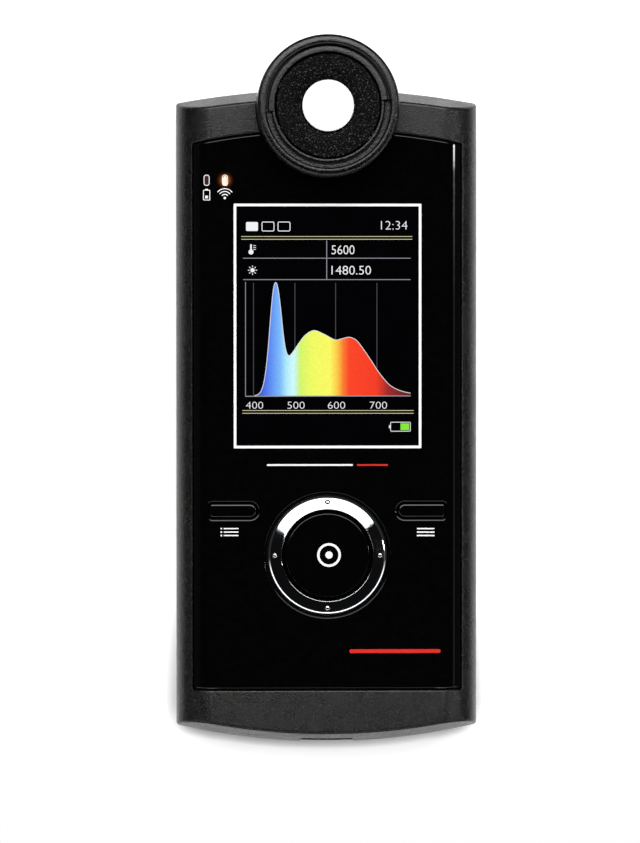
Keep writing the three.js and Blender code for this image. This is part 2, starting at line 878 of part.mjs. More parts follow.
// The ring slopes down to its outer edge, so its upper arc mirrors the sky
function navigationRing() {
  const ringInnerHeight = panelFace + ringInnerRise;
  const ringOuterHeight = panelFace + ringOuterRise;
  const lipUnder = ringInnerHeight - ringLip;
  const ring = turned([
    [ringBore, ringUnder],
    [ringOuter + ringFlange, ringUnder],
    [ringOuter + ringFlange, ringFlangeTop],
    [ringOuter, ringFlangeTop],
    [ringOuter, ringOuterHeight - ringRound],
    [ringOuter - ringRound, ringOuterHeight],
    [ringInner + ringRound, ringInnerHeight],
    [ringInner, ringInnerHeight - ringRound],
    [ringInner, lipUnder],
    [ringBore, lipUnder],
    [ringBore, ringUnder],
  ]);
  const nubEnd = plungerTop + keyTravel;
  const nubRoot = ringUnder + ringFlangeThickness / 2;
  const nubs = nubPlaces().map(([x, y]) => bar(nubRadius, nubEnd, nubRoot, x, y, smallSteps));
  return joined(ring, ...nubs);
}

function navigationWeb() {
  const outer = ringOuter + ringFlange;
  const high = ringUnder - seamGap - seamGap / 2;
  const holes = nubPlaces().map(([x, y]) => bar(nubRadius + seamGap, 0, deviceHigh, x, y, smallSteps));
  const web = cut(bar(outer, high - webThickness, high), bar(outer - webWidth, 0, deviceHigh));
  return cut(web, ...holes);
}

// Main board and what is on it

function mainBoard() {
  const boardLow = bodyBottom + boardBottomMargin;
  const boardHigh = bodyTop - boardTopMargin;
  const tongueLow = boardLow - tongueReach;
  const board = joined(
    block(-boardHalf, boardHalf, boardLow, boardHigh, boardUnder, boardTop),
    block(-tongueWidth / 2, tongueWidth / 2, tongueLow, boardHigh, boardUnder, boardTop),
  );
  const holes = boardScrewPlaces().map(([x, y]) => bar(boardShaft + seamGap, 0, deviceHigh, x, y, screwSteps));
  return cut(board, bar(notchOuter + 2 * seamGap, 0, deviceHigh, 0, headY), ...holes);
}

function keySwitch() {
  return joined(
    slab(switchSize, switchSize, boardTop, boardTop + switchHeight),
    bar(plungerRadius, boardTop + switchHeight / 2, plungerTop, 0, 0, smallSteps),
  );
}

function switchPlaces() {
  const round = nubPlaces().map(([x, y]) => [x, navigationY + y]);
  return [[-keyX, keyY], [keyX, keyY], [0, navigationY], ...round];
}

function chip(width, length, height) {
  return slab(width, length, underBoard - height, underBoard);
}

function cardSocket() {
  const slotHigh = underBoard - socketHeight / 2 + cardThickness / 2 + cardGap;
  const slotLow = slotHigh - cardThickness - 2 * cardGap;
  const back = socketLength / 2 - bayWall;
  return cut(
    slab(socketWidth, socketLength, underBoard - socketHeight, underBoard),
    block(-cardWidth / 2 - cardGap, cardWidth / 2 + cardGap, -socketLength, back, slotLow, slotHigh),
  );
}

function memoryCard() {
  const middle = underBoard - socketHeight / 2;
  const back = socketLength / 2 - bayWall - cardGap;
  return block(-cardWidth / 2, cardWidth / 2, back - cardLength, back,
    middle - cardThickness / 2, middle + cardThickness / 2);
}

function usbSocket() {
  const shell = cut(
    block(-usbWidth / 2, usbWidth / 2, usbMouth, usbMouth + usbLength, usbFloor, usbFloor + usbHeight),
    block(-usbWidth / 2 + usbWall, usbWidth / 2 - usbWall, usbMouth - overrun, usbMouth + usbLength - usbWall,
      usbFloor + usbWall, usbFloor + usbHeight - usbWall),
  );
  const middle = usbFloor + usbHeight / 2;
  const tongue = block(-usbWidth / 4, usbWidth / 4, usbMouth + usbTongue, usbMouth + usbLength - usbWall / 2,
    middle - usbTongue / 2, middle + usbTongue / 2);
  return joined(shell, tongue);
}

function flexConnector() {
  const y = headY - notchOuter - connectorLength;
  return slab(connectorWidth, connectorLength, underBoard - connectorHeight, underBoard, 0, y);
}

function sensorFlex() {
  const low = headY - notchOuter - connectorLength / 2 + seamGap;
  const middle = underBoard - connectorHeight / 2;
  return block(-flexWidth / 2, flexWidth / 2, low, headY - drumBore + seamGap / 2,
    middle - flexThickness / 2, middle + flexThickness / 2);
}

// Measuring head, modelled round its own axis

const drumLow = notchFloor + seamGap;
const drumTop = headHeight - rimHeight;
const capHigh = drumLow + capThickness;
const ledgeLow = capHigh + seamGap;
const sensorBoardLow = ledgeLow + ledgeThickness + seamGap;
const sensorLow = sensorBoardLow + sensorBoardThickness + seamGap;
const sensorHigh = sensorLow + sensorHeight;
const rimLow = drumTop + seamGap;
const rampOuter = headRadius - rimWidth;
const rampInner = rampOuter - rampWidth;
const rampLow = headHeight - rampDrop;
const discRadius = rampInner - discGap;
const discFace = headHeight - discDrop;
const discLow = discFace - discThickness;
const diffuserHigh = discFace - diffuserSink;
const diffuserLow = diffuserHigh - diffuserThickness;
const rimHole = tubeRadius + seamGap;

function headBody() {
  const drum = turned([
    [drumBore, drumLow],
    [headRadius, drumLow],
    [headRadius, drumTop],
    [drumBore, drumTop],
    [drumBore, ledgeLow + ledgeThickness],
    [drumBore - ledgeWidth, ledgeLow + ledgeThickness],
    [drumBore - ledgeWidth, ledgeLow],
    [drumBore, ledgeLow],
    [drumBore, drumLow],
  ]);
  const slot = block(-slotWidth / 2, slotWidth / 2, -headRadius - overrun, 0,
    frontBase - seamGap, frontBase + slotHeight);
  return cut(drum, slot);
}

function headCap() {
  const pilots = [-1, 1].map((side) => (
    bar(headShaft + screwGap, 0, capHigh + overrun, side * headScrewX, 0, screwSteps)));
  return cut(bar(drumBore - seamGap, drumLow, capHigh), ...pilots);
}

// Half of the twist-lock ramp: it climbs through half a turn
function rampHalf(turn) {
  const steps = roundSteps / 2;
  const vertices = [];
  const triangles = [];
  const low = rimLow + rimFloor / 2;
  const rooted = headRadius - rimWidth / 2;
  let sides = 0;
  for (let i = -1; i <= steps; i += 1) {
    const share = Math.max(0, i) / steps;
    const angle = (rampStart + turn) * Math.PI / 180 + Math.PI * i / steps;
    const high = rampLow + rampRise * share;
    const section = [[rampInner, low], [rooted, low], [rooted, high], [rampInner, high]];
    for (const [radius, height] of section) {
      vertices.push(radius * Math.cos(angle), radius * Math.sin(angle), height);
    }
    sides = section.length;
  }
  const last = (steps + 1) * sides;
  for (let i = 0; i < last; i += sides) {
    for (let j = 0; j < sides; j += 1) {
      const k = (j + 1) % sides;
      triangles.push(i + j, i + sides + k, i + k, i + j, i + sides + j, i + sides + k);
    }
  }
  triangles.push(0, 1, 2, 0, 2, 3);
  triangles.push(last, last + 2, last + 1, last, last + 3, last + 2);
  const geometry = new THREE.BufferGeometry();
  geometry.setAttribute('position', new THREE.Float32BufferAttribute(vertices, 3));
  geometry.setIndex(triangles);
  return solid(geometry);
}

function headRim() {
  const crestOuter = headRadius - (rimWidth - rimCrestWidth) / 2;
  const crestInner = crestOuter - rimCrestWidth;
  const spigotOuter = drumBore - seamGap;
  const rim = turned([
    [rimHole, rimLow],
    [spigotOuter - spigotWidth, rimLow],
    [spigotOuter - spigotWidth, rimLow - spigotDepth],
    [spigotOuter, rimLow - spigotDepth],
    [spigotOuter, rimLow],
    [headRadius, rimLow],
    [headRadius, headHeight - rimRound],
    [crestOuter, headHeight],
    [crestInner, headHeight],
    [rampOuter, headHeight - rimRound],
    [rampOuter, rimLow + rimFloor],
    [rimHole, rimLow + rimFloor],
    [rimHole, rimLow],
  ]);
  return joined(rim, rampHalf(0), rampHalf(180));
}

function diffuserRing() {
  const bore = diffuserRadius + seamGap;
  return turned([
    [bore - diffuserSeat, discLow],
    [discRadius, discLow],
    [discRadius, discFace - discRound],
    [discRadius - discRound, discFace],
    [bore, discFace],
    [bore, diffuserLow - seamGap / 2],
    [bore - diffuserSeat, diffuserLow - seamGap / 2],
    [bore - diffuserSeat, discLow],
  ]);
}

function diffuserSeal() {
  const high = discLow - seamGap / 2;
  const low = high - sealThickness;
  const steps = roundSteps / 2;
  return cut(bar(sealRadius, low, high, 0, 0, steps), bar(tubeTopBore, 0, deviceHigh, 0, 0, steps));
}

function lightTube() {
  const high = discLow - sealThickness - seamGap;
  return turned([
    [tubeEndBore, sensorHigh + seamGap],
    [tubeRadius, sensorHigh + seamGap],
    [tubeRadius, high],
    [tubeTopBore, high],
    [tubeEndBore, sensorHigh + seamGap],
  ], roundSteps / 2);
}

function miniSpectrometer() {
  const half = drumBore - sensorSide;
  const end = drumBore - sensorEnd;
  const section = [
    [-half, sensorLow],
    [half, sensorLow],
    [half, sensorHigh - sensorChamfer],
    [half - sensorChamfer, sensorHigh],
    [sensorChamfer - half, sensorHigh],
    [-half, sensorHigh - sensorChamfer],
  ];
  return alongY(section, -end, end);
}

function sensorBoard() {
  return bar(drumBore - seamGap, sensorBoardLow, sensorBoardLow + sensorBoardThickness, 0, 0, roundSteps / 2);
}

// Battery and its door

function battery() {
  const outline = roundedOutline(batteryWidth, batteryLength, batteryRound);
  const middle = (bayBottom + bayTop) / 2;
  return prism(outline, batteryLow, batteryLow + batteryThickness, 0, middle);
}

function batteryContacts() {
  const y = bayTop + contactDepth / 2;
  return slab(contactWidth, contactDepth, batteryLow, batteryLow + batteryThickness - contactDrop, 0, y);
}

const labelY = (bayBottom + bayTop) / 2;

function batteryDoor(outer) {
  const sheet = block(-doorHalf, doorHalf, bodyBottom - overrun, doorTop, deviceLow, doorThickness);
  const plate = outer.intersect(sheet);
  const tongueLow = bodyBottom + doorTongueInset;
  const tongues = block(-doorHalf - doorTongue, doorHalf + doorTongue, tongueLow, doorTop - doorTongueInset,
    doorThickness - doorTongueThickness, doorThickness);
  const ribs = [];
  for (let i = 0; i < gripCount; i += 1) {
    ribs.push(slab(gripWidth, gripRib, deviceLow, gripDepth, 0, bodyBottom + gripMargin + i * gripPitch));
  }
  const labelPocket = prism(
    roundedOutline(labelWidth + 2 * labelGap, labelLength + 2 * labelGap, labelRound + labelGap),
    deviceLow, labelDepth, 0, labelY,
  );
  return cut(joined(plate, tongues), ...ribs, labelPocket);
}

function ratingLabel() {
  const low = labelDepth - labelThickness - labelGap / 2;
  return prism(roundedOutline(labelWidth, labelLength, labelRound), low, low + labelThickness, 0, labelY);
}

// Tripod insert: a blind bore that opens in the back
function tripodInsert() {
  return turned([
    [tripodBore, tripodSink],
    [tripodRadius, tripodSink],
    [tripodRadius, insertTop],
    [0, insertTop],
    [0, insertTop - tripodFloor],
    [tripodBore, insertTop - tripodFloor],
    [tripodBore, tripodSink],
  ], roundSteps / 2);
}

// A screw driven up from the back, with its head down and a six-sided drive
function screw(capRadius, capHeight, shaft, length) {
  return cut(
    joined(
      bar(capRadius, 0, capHeight, 0, 0, screwSteps),
      bar(shaft, capHeight / 2, length, 0, 0, screwSteps),
    ),
    bar(driveRadius, -driveDepth, driveDepth, 0, 0, driveSides),
  );
}

// The assembly

function finish(color, roughness, metalness) {
  return () => new THREE.MeshStandardMaterial({ color, roughness, metalness });
}

const housingBlack = finish(0x1e1e1e, 0.62, 0);
const panelBlack = finish(0x050506, 0.08, 0);
const darkChrome = finish(0x2b2d31, 0.12, 0.9);
const keyBlack = finish(0x0a0a0b, 0.2, 0);
const opalWhite = finish(0xf4f4f2, 0.5, 0);
const clearPlastic = finish(0x101214, 0.05, 0);
const pipeClear = finish(0xe8d8b0, 0.25, 0);
const rubberBlack = finish(0x17171a, 0.9, 0);
const boardGreen = finish(0x1d5a34, 0.5, 0);
const chipBlack = finish(0x202226, 0.55, 0);
const plated = finish(0xb9bcc0, 0.3, 1);
const flexAmber = finish(0xa8641d, 0.45, 0);
const brass = finish(0xb08d3c, 0.35, 1);
const steel = finish(0x9a9da1, 0.35, 1);
const batteryGrey = finish(0x6e7680, 0.6, 0);
const labelGrey = finish(0x9b9d9f, 0.7, 0);
const innerBlack = finish(0x151515, 0.8, 0);

function geometryOf(body) {
  const mesh = body.getMesh();
  const geometry = new THREE.BufferGeometry();
  geometry.setAttribute('position', new THREE.Float32BufferAttribute(mesh.vertProperties, mesh.numProp));
  geometry.setIndex(new THREE.BufferAttribute(mesh.triVerts, 1));
  geometry.computeVertexNormals();
  return geometry;
}

function place(parent, name, body, look, x = 0, y = 0, z = 0) {
  const mesh = new THREE.Mesh(geometryOf(body), look());
  mesh.name = name;
  mesh.position.set(x, y, z);
  parent.add(mesh);
}

const spectrometer = new THREE.Group();
const head = new THREE.Group();
head.position.set(0, headY, 0);
const navigation = new THREE.Group();
navigation.position.set(0, navigationY, 0);
spectrometer.add(head, navigation);

const outer = outerBody();
const inner = innerSpace();

place(spectrometer, 'front_shell', frontShell(outer, inner), housingBlack);
place(spectrometer, 'rear_shell', rearShell(outer, inner), housingBlack);
place(spectrometer, 'front_panel', frontPanel(), panelBlack);
const clearWindow = slab(windowWidth, windowLength, panelUnder, panelFace);
place(spectrometer, 'display_window', clearWindow, clearPlastic, 0, displayY);
place(spectrometer, 'display_gasket', displayGasket(), rubberBlack);
place(spectrometer, 'display_module', displayModule(), innerBlack);
place(spectrometer, 'display_flex', displayFlex(), flexAmber);

const lampNames = ['battery_lamp', 'radio_lamp'];
lampPlaces().forEach((x, i) => {
  place(spectrometer, `${lampNames[i]}_pipe`, lightPipe(x), pipeClear);
  place(spectrometer, `${lampNames[i]}_led`, led(x), opalWhite);
});

place(spectrometer, 'left_key', sideKey(-1), keyBlack, -keyX, keyY);
place(spectrometer, 'right_key', sideKey(1), keyBlack, keyX, keyY);
place(navigation, 'navigation_ring', navigationRing(), darkChrome);
place(navigation, 'navigation_web', navigationWeb(), rubberBlack);
place(navigation, 'measure_key', measureKey(), keyBlack);

place(spectrometer, 'main_board', mainBoard(), boardGreen);
const switchNames = ['left', 'right', 'measure', 'east', 'north', 'west', 'south'];
switchPlaces().forEach(([x, y], i) => {
  place(spectrometer, `${switchNames[i]}_switch`, keySwitch(), plated, x, y);
});
const chipX = boardHalf / 2;
const chipTopY = tripodY - processorSize / 2;
place(spectrometer, 'processor', chip(processorSize, processorSize, chipHeight), chipBlack, -chipX, chipTopY);
place(spectrometer, 'memory_chip', chip(memoryWidth, memoryLength, chipHeight), chipBlack,
  -chipX, chipTopY - processorSize - memoryLength / 2);
place(spectrometer, 'wireless_module', chip(radioWidth, radioLength, radioHeight), plated, chipX, chipTopY);
const socketY = (tripodY + navigationY) / 2 - socketDrop;
place(spectrometer, 'card_socket', cardSocket(), plated, chipX, socketY);
place(spectrometer, 'memory_card', memoryCard(), chipBlack, chipX, socketY);
place(spectrometer, 'usb_socket', usbSocket(), plated);
place(spectrometer, 'flex_connector', flexConnector(), chipBlack);
place(spectrometer, 'sensor_flex', sensorFlex(), flexAmber);

place(head, 'head_body', headBody(), housingBlack);
place(head, 'head_cap', headCap(), housingBlack);
place(head, 'head_rim', headRim(), housingBlack);
place(head, 'diffuser_ring', diffuserRing(), housingBlack);
place(head, 'diffuser', bar(diffuserRadius, diffuserLow, diffuserHigh), opalWhite);
place(head, 'diffuser_seal', diffuserSeal(), rubberBlack);
place(head, 'light_tube', lightTube(), innerBlack);
place(head, 'mini_spectrometer', miniSpectrometer(), plated);
place(head, 'sensor_board', sensorBoard(), boardGreen);

place(spectrometer, 'battery', battery(), batteryGrey);
place(spectrometer, 'battery_contacts', batteryContacts(), brass);
place(spectrometer, 'battery_door', batteryDoor(outer), housingBlack);
place(spectrometer, 'rating_label', ratingLabel(), labelGrey);
place(spectrometer, 'tripod_insert', tripodInsert(), brass, 0, tripodY);

const caseScrew = screw(caseHead, caseHeadHeight, caseShaft, caseScrewLength);
caseScrewPlaces().forEach(([x, y], i) => {
  place(spectrometer, `case_screw_${i + 1}`, caseScrew, steel, x, y, caseHeadSink);
});
const boardScrew = screw(boardHead, boardHeadHeight, boardShaft, boardScrewLength + boardHeadHeight);
boardScrewPlaces().forEach(([x, y], i) => {
  place(spectrometer, `board_screw_${i + 1}`, boardScrew, steel, x, y, underBoard - boardHeadHeight);
});
const headScrew = screw(headHead, headHeadHeight, headShaft, headScrewLength);
headScrewPlaces().forEach(([x, y], i) => {
  place(spectrometer, `head_screw_${i + 1}`, headScrew, steel, x, y, headHeadSink);
});

export default spectrometer;
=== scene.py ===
import json
import math

import bmesh
import bpy
from mathutils import Matrix, Vector


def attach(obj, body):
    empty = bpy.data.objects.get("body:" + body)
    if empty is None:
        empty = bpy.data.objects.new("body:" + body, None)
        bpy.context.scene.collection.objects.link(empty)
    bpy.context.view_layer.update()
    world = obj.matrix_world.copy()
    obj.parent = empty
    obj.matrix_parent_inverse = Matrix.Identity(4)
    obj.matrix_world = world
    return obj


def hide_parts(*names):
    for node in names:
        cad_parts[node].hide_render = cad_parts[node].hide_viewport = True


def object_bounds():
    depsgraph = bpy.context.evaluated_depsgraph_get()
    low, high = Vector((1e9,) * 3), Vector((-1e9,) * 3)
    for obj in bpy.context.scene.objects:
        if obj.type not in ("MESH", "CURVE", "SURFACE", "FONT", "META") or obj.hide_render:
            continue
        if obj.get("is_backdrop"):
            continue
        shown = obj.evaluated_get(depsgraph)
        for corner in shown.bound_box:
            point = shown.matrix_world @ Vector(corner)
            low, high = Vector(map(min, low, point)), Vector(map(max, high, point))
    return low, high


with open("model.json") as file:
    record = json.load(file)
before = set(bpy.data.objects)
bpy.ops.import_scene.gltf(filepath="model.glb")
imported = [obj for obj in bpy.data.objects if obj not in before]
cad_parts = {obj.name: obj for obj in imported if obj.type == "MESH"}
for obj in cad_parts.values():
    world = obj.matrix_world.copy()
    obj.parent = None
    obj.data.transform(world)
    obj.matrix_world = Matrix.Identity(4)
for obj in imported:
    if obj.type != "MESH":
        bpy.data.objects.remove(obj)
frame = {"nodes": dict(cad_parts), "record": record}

cad_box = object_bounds()

# Lengths are in millimetres until a piece is finished, and z is 0 at the back of the case.
MM = 0.001
SPIN = 144

# sizes of the case
HALF, FLAT_HALF, WIDEST_Z, DEPTH = 30, 23.2, 15.5, 23
LOW, HIGH = -70.25, 60.05
LOW_CROWN, HIGH_CROWN = 3.5, 2.8
SHOULDER_POWER = 1.4
END_LEAN, END_EDGE = 2.15, 0.5
BACK_ROUND = 3.5
WALL = 2
REAR_TOP, FRONT_BASE, LIP_TOP, PARTING = 10.85, 11.15, 12.15, 0.18
DECK_UNDER = 19.9
# How far from its sides a cross section has points, and its columns between them.
SIDE_STEPS = (0, 0.012, 0.05, 0.11, 0.2, 0.32, 0.5, 0.8, 1.3, 2.1, 3.3, 4.8, 6.5)
BODY_COLUMNS = 46

# sizes of the panel and its openings
PANEL_DROP, PANEL_THICK, PANEL_EDGE_THICK = 0.1, 1.5, 1.2
PANEL_HALF, PANEL_LOW, PANEL_HIGH, PANEL_CROWN = 26.62, -59.35, 51.75, 3.5
PANEL_GAP, PANEL_CORNER, ADHESIVE = 0.15, 0.35, 0.25
PANEL_Z = DEPTH - PANEL_DROP
PANEL_STEPS = (0, 0.01, 0.04, 0.1, 0.18, 0.3)
WING_COLUMNS, WING_OVERLAP, PANEL_COLUMNS = 14, 0.6, 30
CUT_LOW, CUT_HIGH = 19, 24
WINDOW, WINDOW_GAP = (-18.05, 18.05, -10.8, 36.5), 0.2
LAMPS = ((-23.92, "battery"), (-20.27, "radio"))
LAMP_Y, LAMP_WIDTH, LAMP_LENGTH, LAMP_GAP, LAMP_BASE = 41.7, 0.7, 1.7, 0.15, 15.05

# sizes of the keys and the ring
KEY_X, KEY_Y, KEY_LENGTH, KEY_WIDTH = 18.7, -23.75, 9.3, 2.7
KEY_BASE, KEY_TOP, KEY_EDGE, KEY_CORNER = 19.6, 22.85, 0.42, 0.5
KEY_GAP, KEY_DISH, KEY_DISH_DEPTH = 0.25, 0.75, 0.6
STEM_FOOT, STEM_TOP = 16.4, 19
RING_CENTRE = (0, -32.6)
RING_HOLE, RING_DISH, RING_DISH_DEPTH = 12.1, 12.62, 0.45
RING_INNER, RING_OUTER, RING_FLANGE, RING_BASE = 9.1, 11.8, 12.9, 18.4
# The ring's sloped face runs in a straight line through these two (radius, z) points.
RING_SLOPE = ((9.35, 24.075), (11.58, 23.09))
DOT_PLACE, DOT_R = 10.42, 0.6
NUB_PLACE, NUB_R, NUB_FOOT = 10.9, 0.8, 16.25
MEASURE_TOP, MEASURE_R, MEASURE_EDGE = 23.7, 8.3, 0.17

# sizes of the measuring head
HEAD_CENTRE = (0, 56.2)
NOTCH_R, NOTCH_WALL_R, NOTCH_FLOOR = 14.12, 15.95, 2.6
HEAD_R, HEAD_INNER = 14.05, 12.45
RIM_STEPS, RAMP_START = 720, 6

# sizes of the back and the lower end
CASE_SCREWS = ((-24, 50.5), (-24, -60.5), (24, 50.5), (24, -60.5))
HEAD_SCREWS = ((-8.5, HEAD_CENTRE[1]), (8.5, HEAD_CENTRE[1]))
TRIPOD_CENTRE, TRIPOD_R, TRIPOD_BORE, TRIPOD_HOLE = (0, 24), 4.75, 3.2, 5.0
DOOR_HALF, DOOR_TOP, DOOR_THICK, DOOR_GAP, DOOR_CUT = 19.5, 9.55, 1.8, 0.3, -74
TONGUE_HALF, TONGUE_LOW, TONGUE_HIGH, TONGUE_BASE = 20.4, -66.25, 5.55, 1.1
LABEL_Y, LABEL_HALF_X, LABEL_HALF_Y = -19.25, 16, 13
# The battery's bay, its room and the niche of its contacts, as (x0, x1, y0, y1, z0, z1).
BAY = (-19, 19, -47.8, 11.2, 1, 9.8)
BAY_ROOM = (-17.3, 17.3, -46.05, 7.55, 1, 8.3)
NICHE = (-5.3, 5.3, 7.3, 9.65, 2, 7.2)
# The micro socket lies along y. Its box is in x and z.
SOCKET_MOUTH, SOCKET_END, SOCKET_GAP = -68.75, -63.35, 0.25
SOCKET = (-3.75, 3.75, 14.35, 16.95)
SOCKET_MIDDLE = 15.65
SOCKET_RECESS = (-5.3, 5.3, SOCKET_MIDDLE - 2.7, SOCKET_MIDDLE + 2.7)

# The camera, as found from the photograph's proportions.
PHOTO_WIDTH, PHOTO_HEIGHT, FOCAL_PIXELS = 640, 843, 4483.39
SENSOR = 36
CAMERA = Vector((-26.678, 10.376, 911.468))
CAMERA_TURN = (Matrix.Rotation(-0.00031, 3, "Z") @ Matrix.Rotation(-0.028365, 3, "Y")
               @ Matrix.Rotation(-0.018508, 3, "X"))


def at(u, v, z=PANEL_Z):
    """Where a place in the photograph's frame lies on the object, at height z."""
    right, up = (u - PHOTO_WIDTH / 2) / FOCAL_PIXELS, (PHOTO_HEIGHT / 2 - v) / FOCAL_PIXELS
    ray = CAMERA_TURN @ Vector((right, up, -1))
    reach = (z - CAMERA.z) / ray.z
    return CAMERA.x + ray.x * reach, CAMERA.y + ray.y * reach


def span(u0, u1, v0, v1):
    """A box of the photograph's frame as (x0, x1, y0, y1) on the panel."""
    x0, y1 = at(u0, v0)
    x1, y0 = at(u1, v1)
    return x0, x1, y0, y1


# points and boxes

def polar(radius, turn, centre):
    return centre[0] + radius * math.cos(turn), centre[1] + radius * math.sin(turn)


def circle(radius, centre, steps=SPIN):
    return [polar(radius, math.tau * k / steps, centre) for k in range(steps)]


def flat_ring(radius, centre, z, steps=SPIN):
    """A circle at height z."""
    return [(x, y, z) for x, y in circle(radius, centre, steps)]


def turns(start, end, steps):
    """Angles from start to end, both in degrees, as radians."""
    return [math.radians(start + (end - start) * k / steps) for k in range(steps + 1)]


def bend(r, z, radius, start, end, steps):
    """Points of a small fillet in a turned profile, about its centre (r, z)."""
    return [polar(radius, turn, (r, z)) for turn in turns(start, end, steps)]


def quarter(steps):
    """A quarter turn from an upright to a level edge: what it has drawn in, and what is left to rise."""
    angles = [math.pi / 2 * k / steps for k in range(1, steps + 1)]
    return [(1 - math.cos(angle), 1 - math.sin(angle)) for angle in angles]


def grown(box, by):
    x0, x1, y0, y1 = box
    return x0 - by, x1 + by, y0 - by, y1 + by


def around(x, y, half_x, half_y):
    """A box about its middle."""
    return x - half_x, x + half_x, y - half_y, y + half_y


def each_corner(radius):
    """A radius for each of four corners, from one number or from four."""
    return radius if isinstance(radius, tuple) else (radius,) * 4


def rounded(x0, x1, y0, y1, radius, steps=8):
    """A rectangle with rounded corners, anticlockwise from (x0, y0)."""
    corners = ((x0, y0, 1, 1, 180), (x1, y0, -1, 1, 270), (x1, y1, -1, -1, 0), (x0, y1, 1, -1, 90))
    points = []
    for (x, y, sx, sy, start), r in zip(corners, each_corner(radius)):
        centre = (x + sx * r, y + sy * r)
        points += [polar(r, turn, centre) for turn in turns(start, start + 90, steps)]
    return points


# meshes

def solid(name, vertices, faces):
    mesh = bpy.data.meshes.new(name)
    mesh.from_pydata(vertices, [], faces)
    work = bmesh.new()
    work.from_mesh(mesh)
    bmesh.ops.remove_doubles(work, verts=work.verts, dist=1e-5)
    bmesh.ops.recalc_face_normals(work, faces=work.faces)
    work.to_mesh(mesh)
    work.free()
    piece = bpy.data.objects.new(name, mesh)
    bpy.context.scene.collection.objects.link(piece)
    return piece


def between(low, high, size):
    """Faces between two rings of the same size, which start at the vertices low and high."""
    faces = []
    for k in range(size):
        after = (k + 1) % size
        faces.append((low + k, low + after, high + after, high + k))
    return faces


def loft(name, rings, strip=False):
    """A closed solid through rings of equal length. With strip, the caps join opposite points of a ring."""
    size = len(rings[0])
    top = (len(rings) - 1) * size
    faces = []
    for low in range(0, top, size):
        faces += between(low, low + size, size)
    for start in (0, top):
        if strip:
            for k in range(size // 2 - 1):
                faces.append((start + k, start + k + 1, start + size - 2 - k, start + size - 1 - k))
        else:
            faces.append(tuple(range(start, start + size)))
    return solid(name, [point for ring in rings for point in ring], faces)


def tube(name, rings):
    """A closed solid swept round: the rings are cross sections, and the last joins the first."""
    size = len(rings[0])
    faces = []
    for level in range(len(rings)):
        faces += between(level * size, (level + 1) % len(rings) * size, size)
    return solid(name, [point for ring in rings for point in ring], faces)


def lathe(name, profile, centre=(0, 0), steps=SPIN):
    """Turns (radius, z) points. A profile that doesn't touch the axis is closed on itself."""
    vertices, rings, faces = [], [], []
    for radius, z in profile:
        count = steps if radius else 1
        rings.append([len(vertices) + k % count for k in range(steps)])
        vertices += flat_ring(radius, centre, z, count)
    last = len(profile) if min(radius for radius, _ in profile) > 0 else len(profile) - 1
    for level in range(last):
        low, high = rings[level], rings[(level + 1) % len(rings)]
        for k in range(steps):
            after = (k + 1) % steps
            corners = list(dict.fromkeys((low[k], low[after], high[after], high[k])))
            if len(corners) > 2:
                faces.append(corners)
    return solid(name, vertices, faces)


def cylinder(name, radius, low, high, centre, steps=SPIN):
    return lathe(name, [(0, low), (radius, low), (radius, high), (0, high)], centre, steps)


def prism(name, box, radius, levels, steps=8):
    """A rounded rectangle through levels of (grow, z)."""
    rings = []
    for grow, z in levels:
        radii = tuple(max(r + grow, 0.01) for r in each_corner(radius))
        rings.append([(x, y, z) for x, y in rounded(*grown(box, grow), radii, steps)])
    return loft(name, rings)


def block(name, x0, x1, y0, y1, z0, z1, corner=0.02):
    return prism(name, (x0, x1, y0, y1), corner, [(0, z0), (0, z1)], 4 if corner > 0.1 else 1)


def along_length(name, box, radius, levels, near, far):
    """A prism laid along y: its box is in x and z, its level 0 goes to near and its level 1 to far."""
    piece = prism(name, box, radius, levels)
    for vertex in piece.data.vertices:
        x, up, along = vertex.co
        vertex.co = (x, near + (far - near) * along, up)
    piece.data.flip_normals()
    return piece


def applied(piece):
    """A piece's mesh with its modifiers applied."""
    return bpy.data.meshes.new_from_object(piece.evaluated_get(bpy.context.evaluated_depsgraph_get()))


def combine(piece, tools, operation):
    for tool in tools:
        step = piece.modifiers.new("combine", "BOOLEAN")
        step.operation = operation
        step.solver = "MANIFOLD"
        step.object = tool
    mesh = applied(piece)
    piece.modifiers.clear()
    piece.data = mesh
    for tool in tools:
        bpy.data.objects.remove(tool)


def carve(piece, *tools):
    combine(piece, tools, "DIFFERENCE")


def weld(piece, *tools):
    combine(piece, tools, "UNION")


def keep(piece, *tools):
    combine(piece, tools, "INTERSECT")


def finish(piece, material, node=None, body="housing", crease=30):
    """Scales a piece to metres, shades it, gives it its material, hangs it on its body and hides the part
    it replaces.
    """
    work = bmesh.new()
    work.from_mesh(piece.data)
    bmesh.ops.scale(work, vec=(MM, MM, MM), verts=work.verts)
    bmesh.ops.remove_doubles(work, verts=work.verts, dist=1e-7)
    bmesh.ops.dissolve_degenerate(work, edges=work.edges, dist=1e-7)
    work.to_mesh(piece.data)
    work.free()
    piece.data.shade_smooth()
    piece.data.set_sharp_from_angle(angle=math.radians(crease))
    normals = piece.modifiers.new("normals", "WEIGHTED_NORMAL")
    normals.keep_sharp = True
    piece.data.materials.clear()
    piece.data.materials.append(material)
    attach(piece, body)
    if node:
        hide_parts(node)


# materials

PATCH = 5


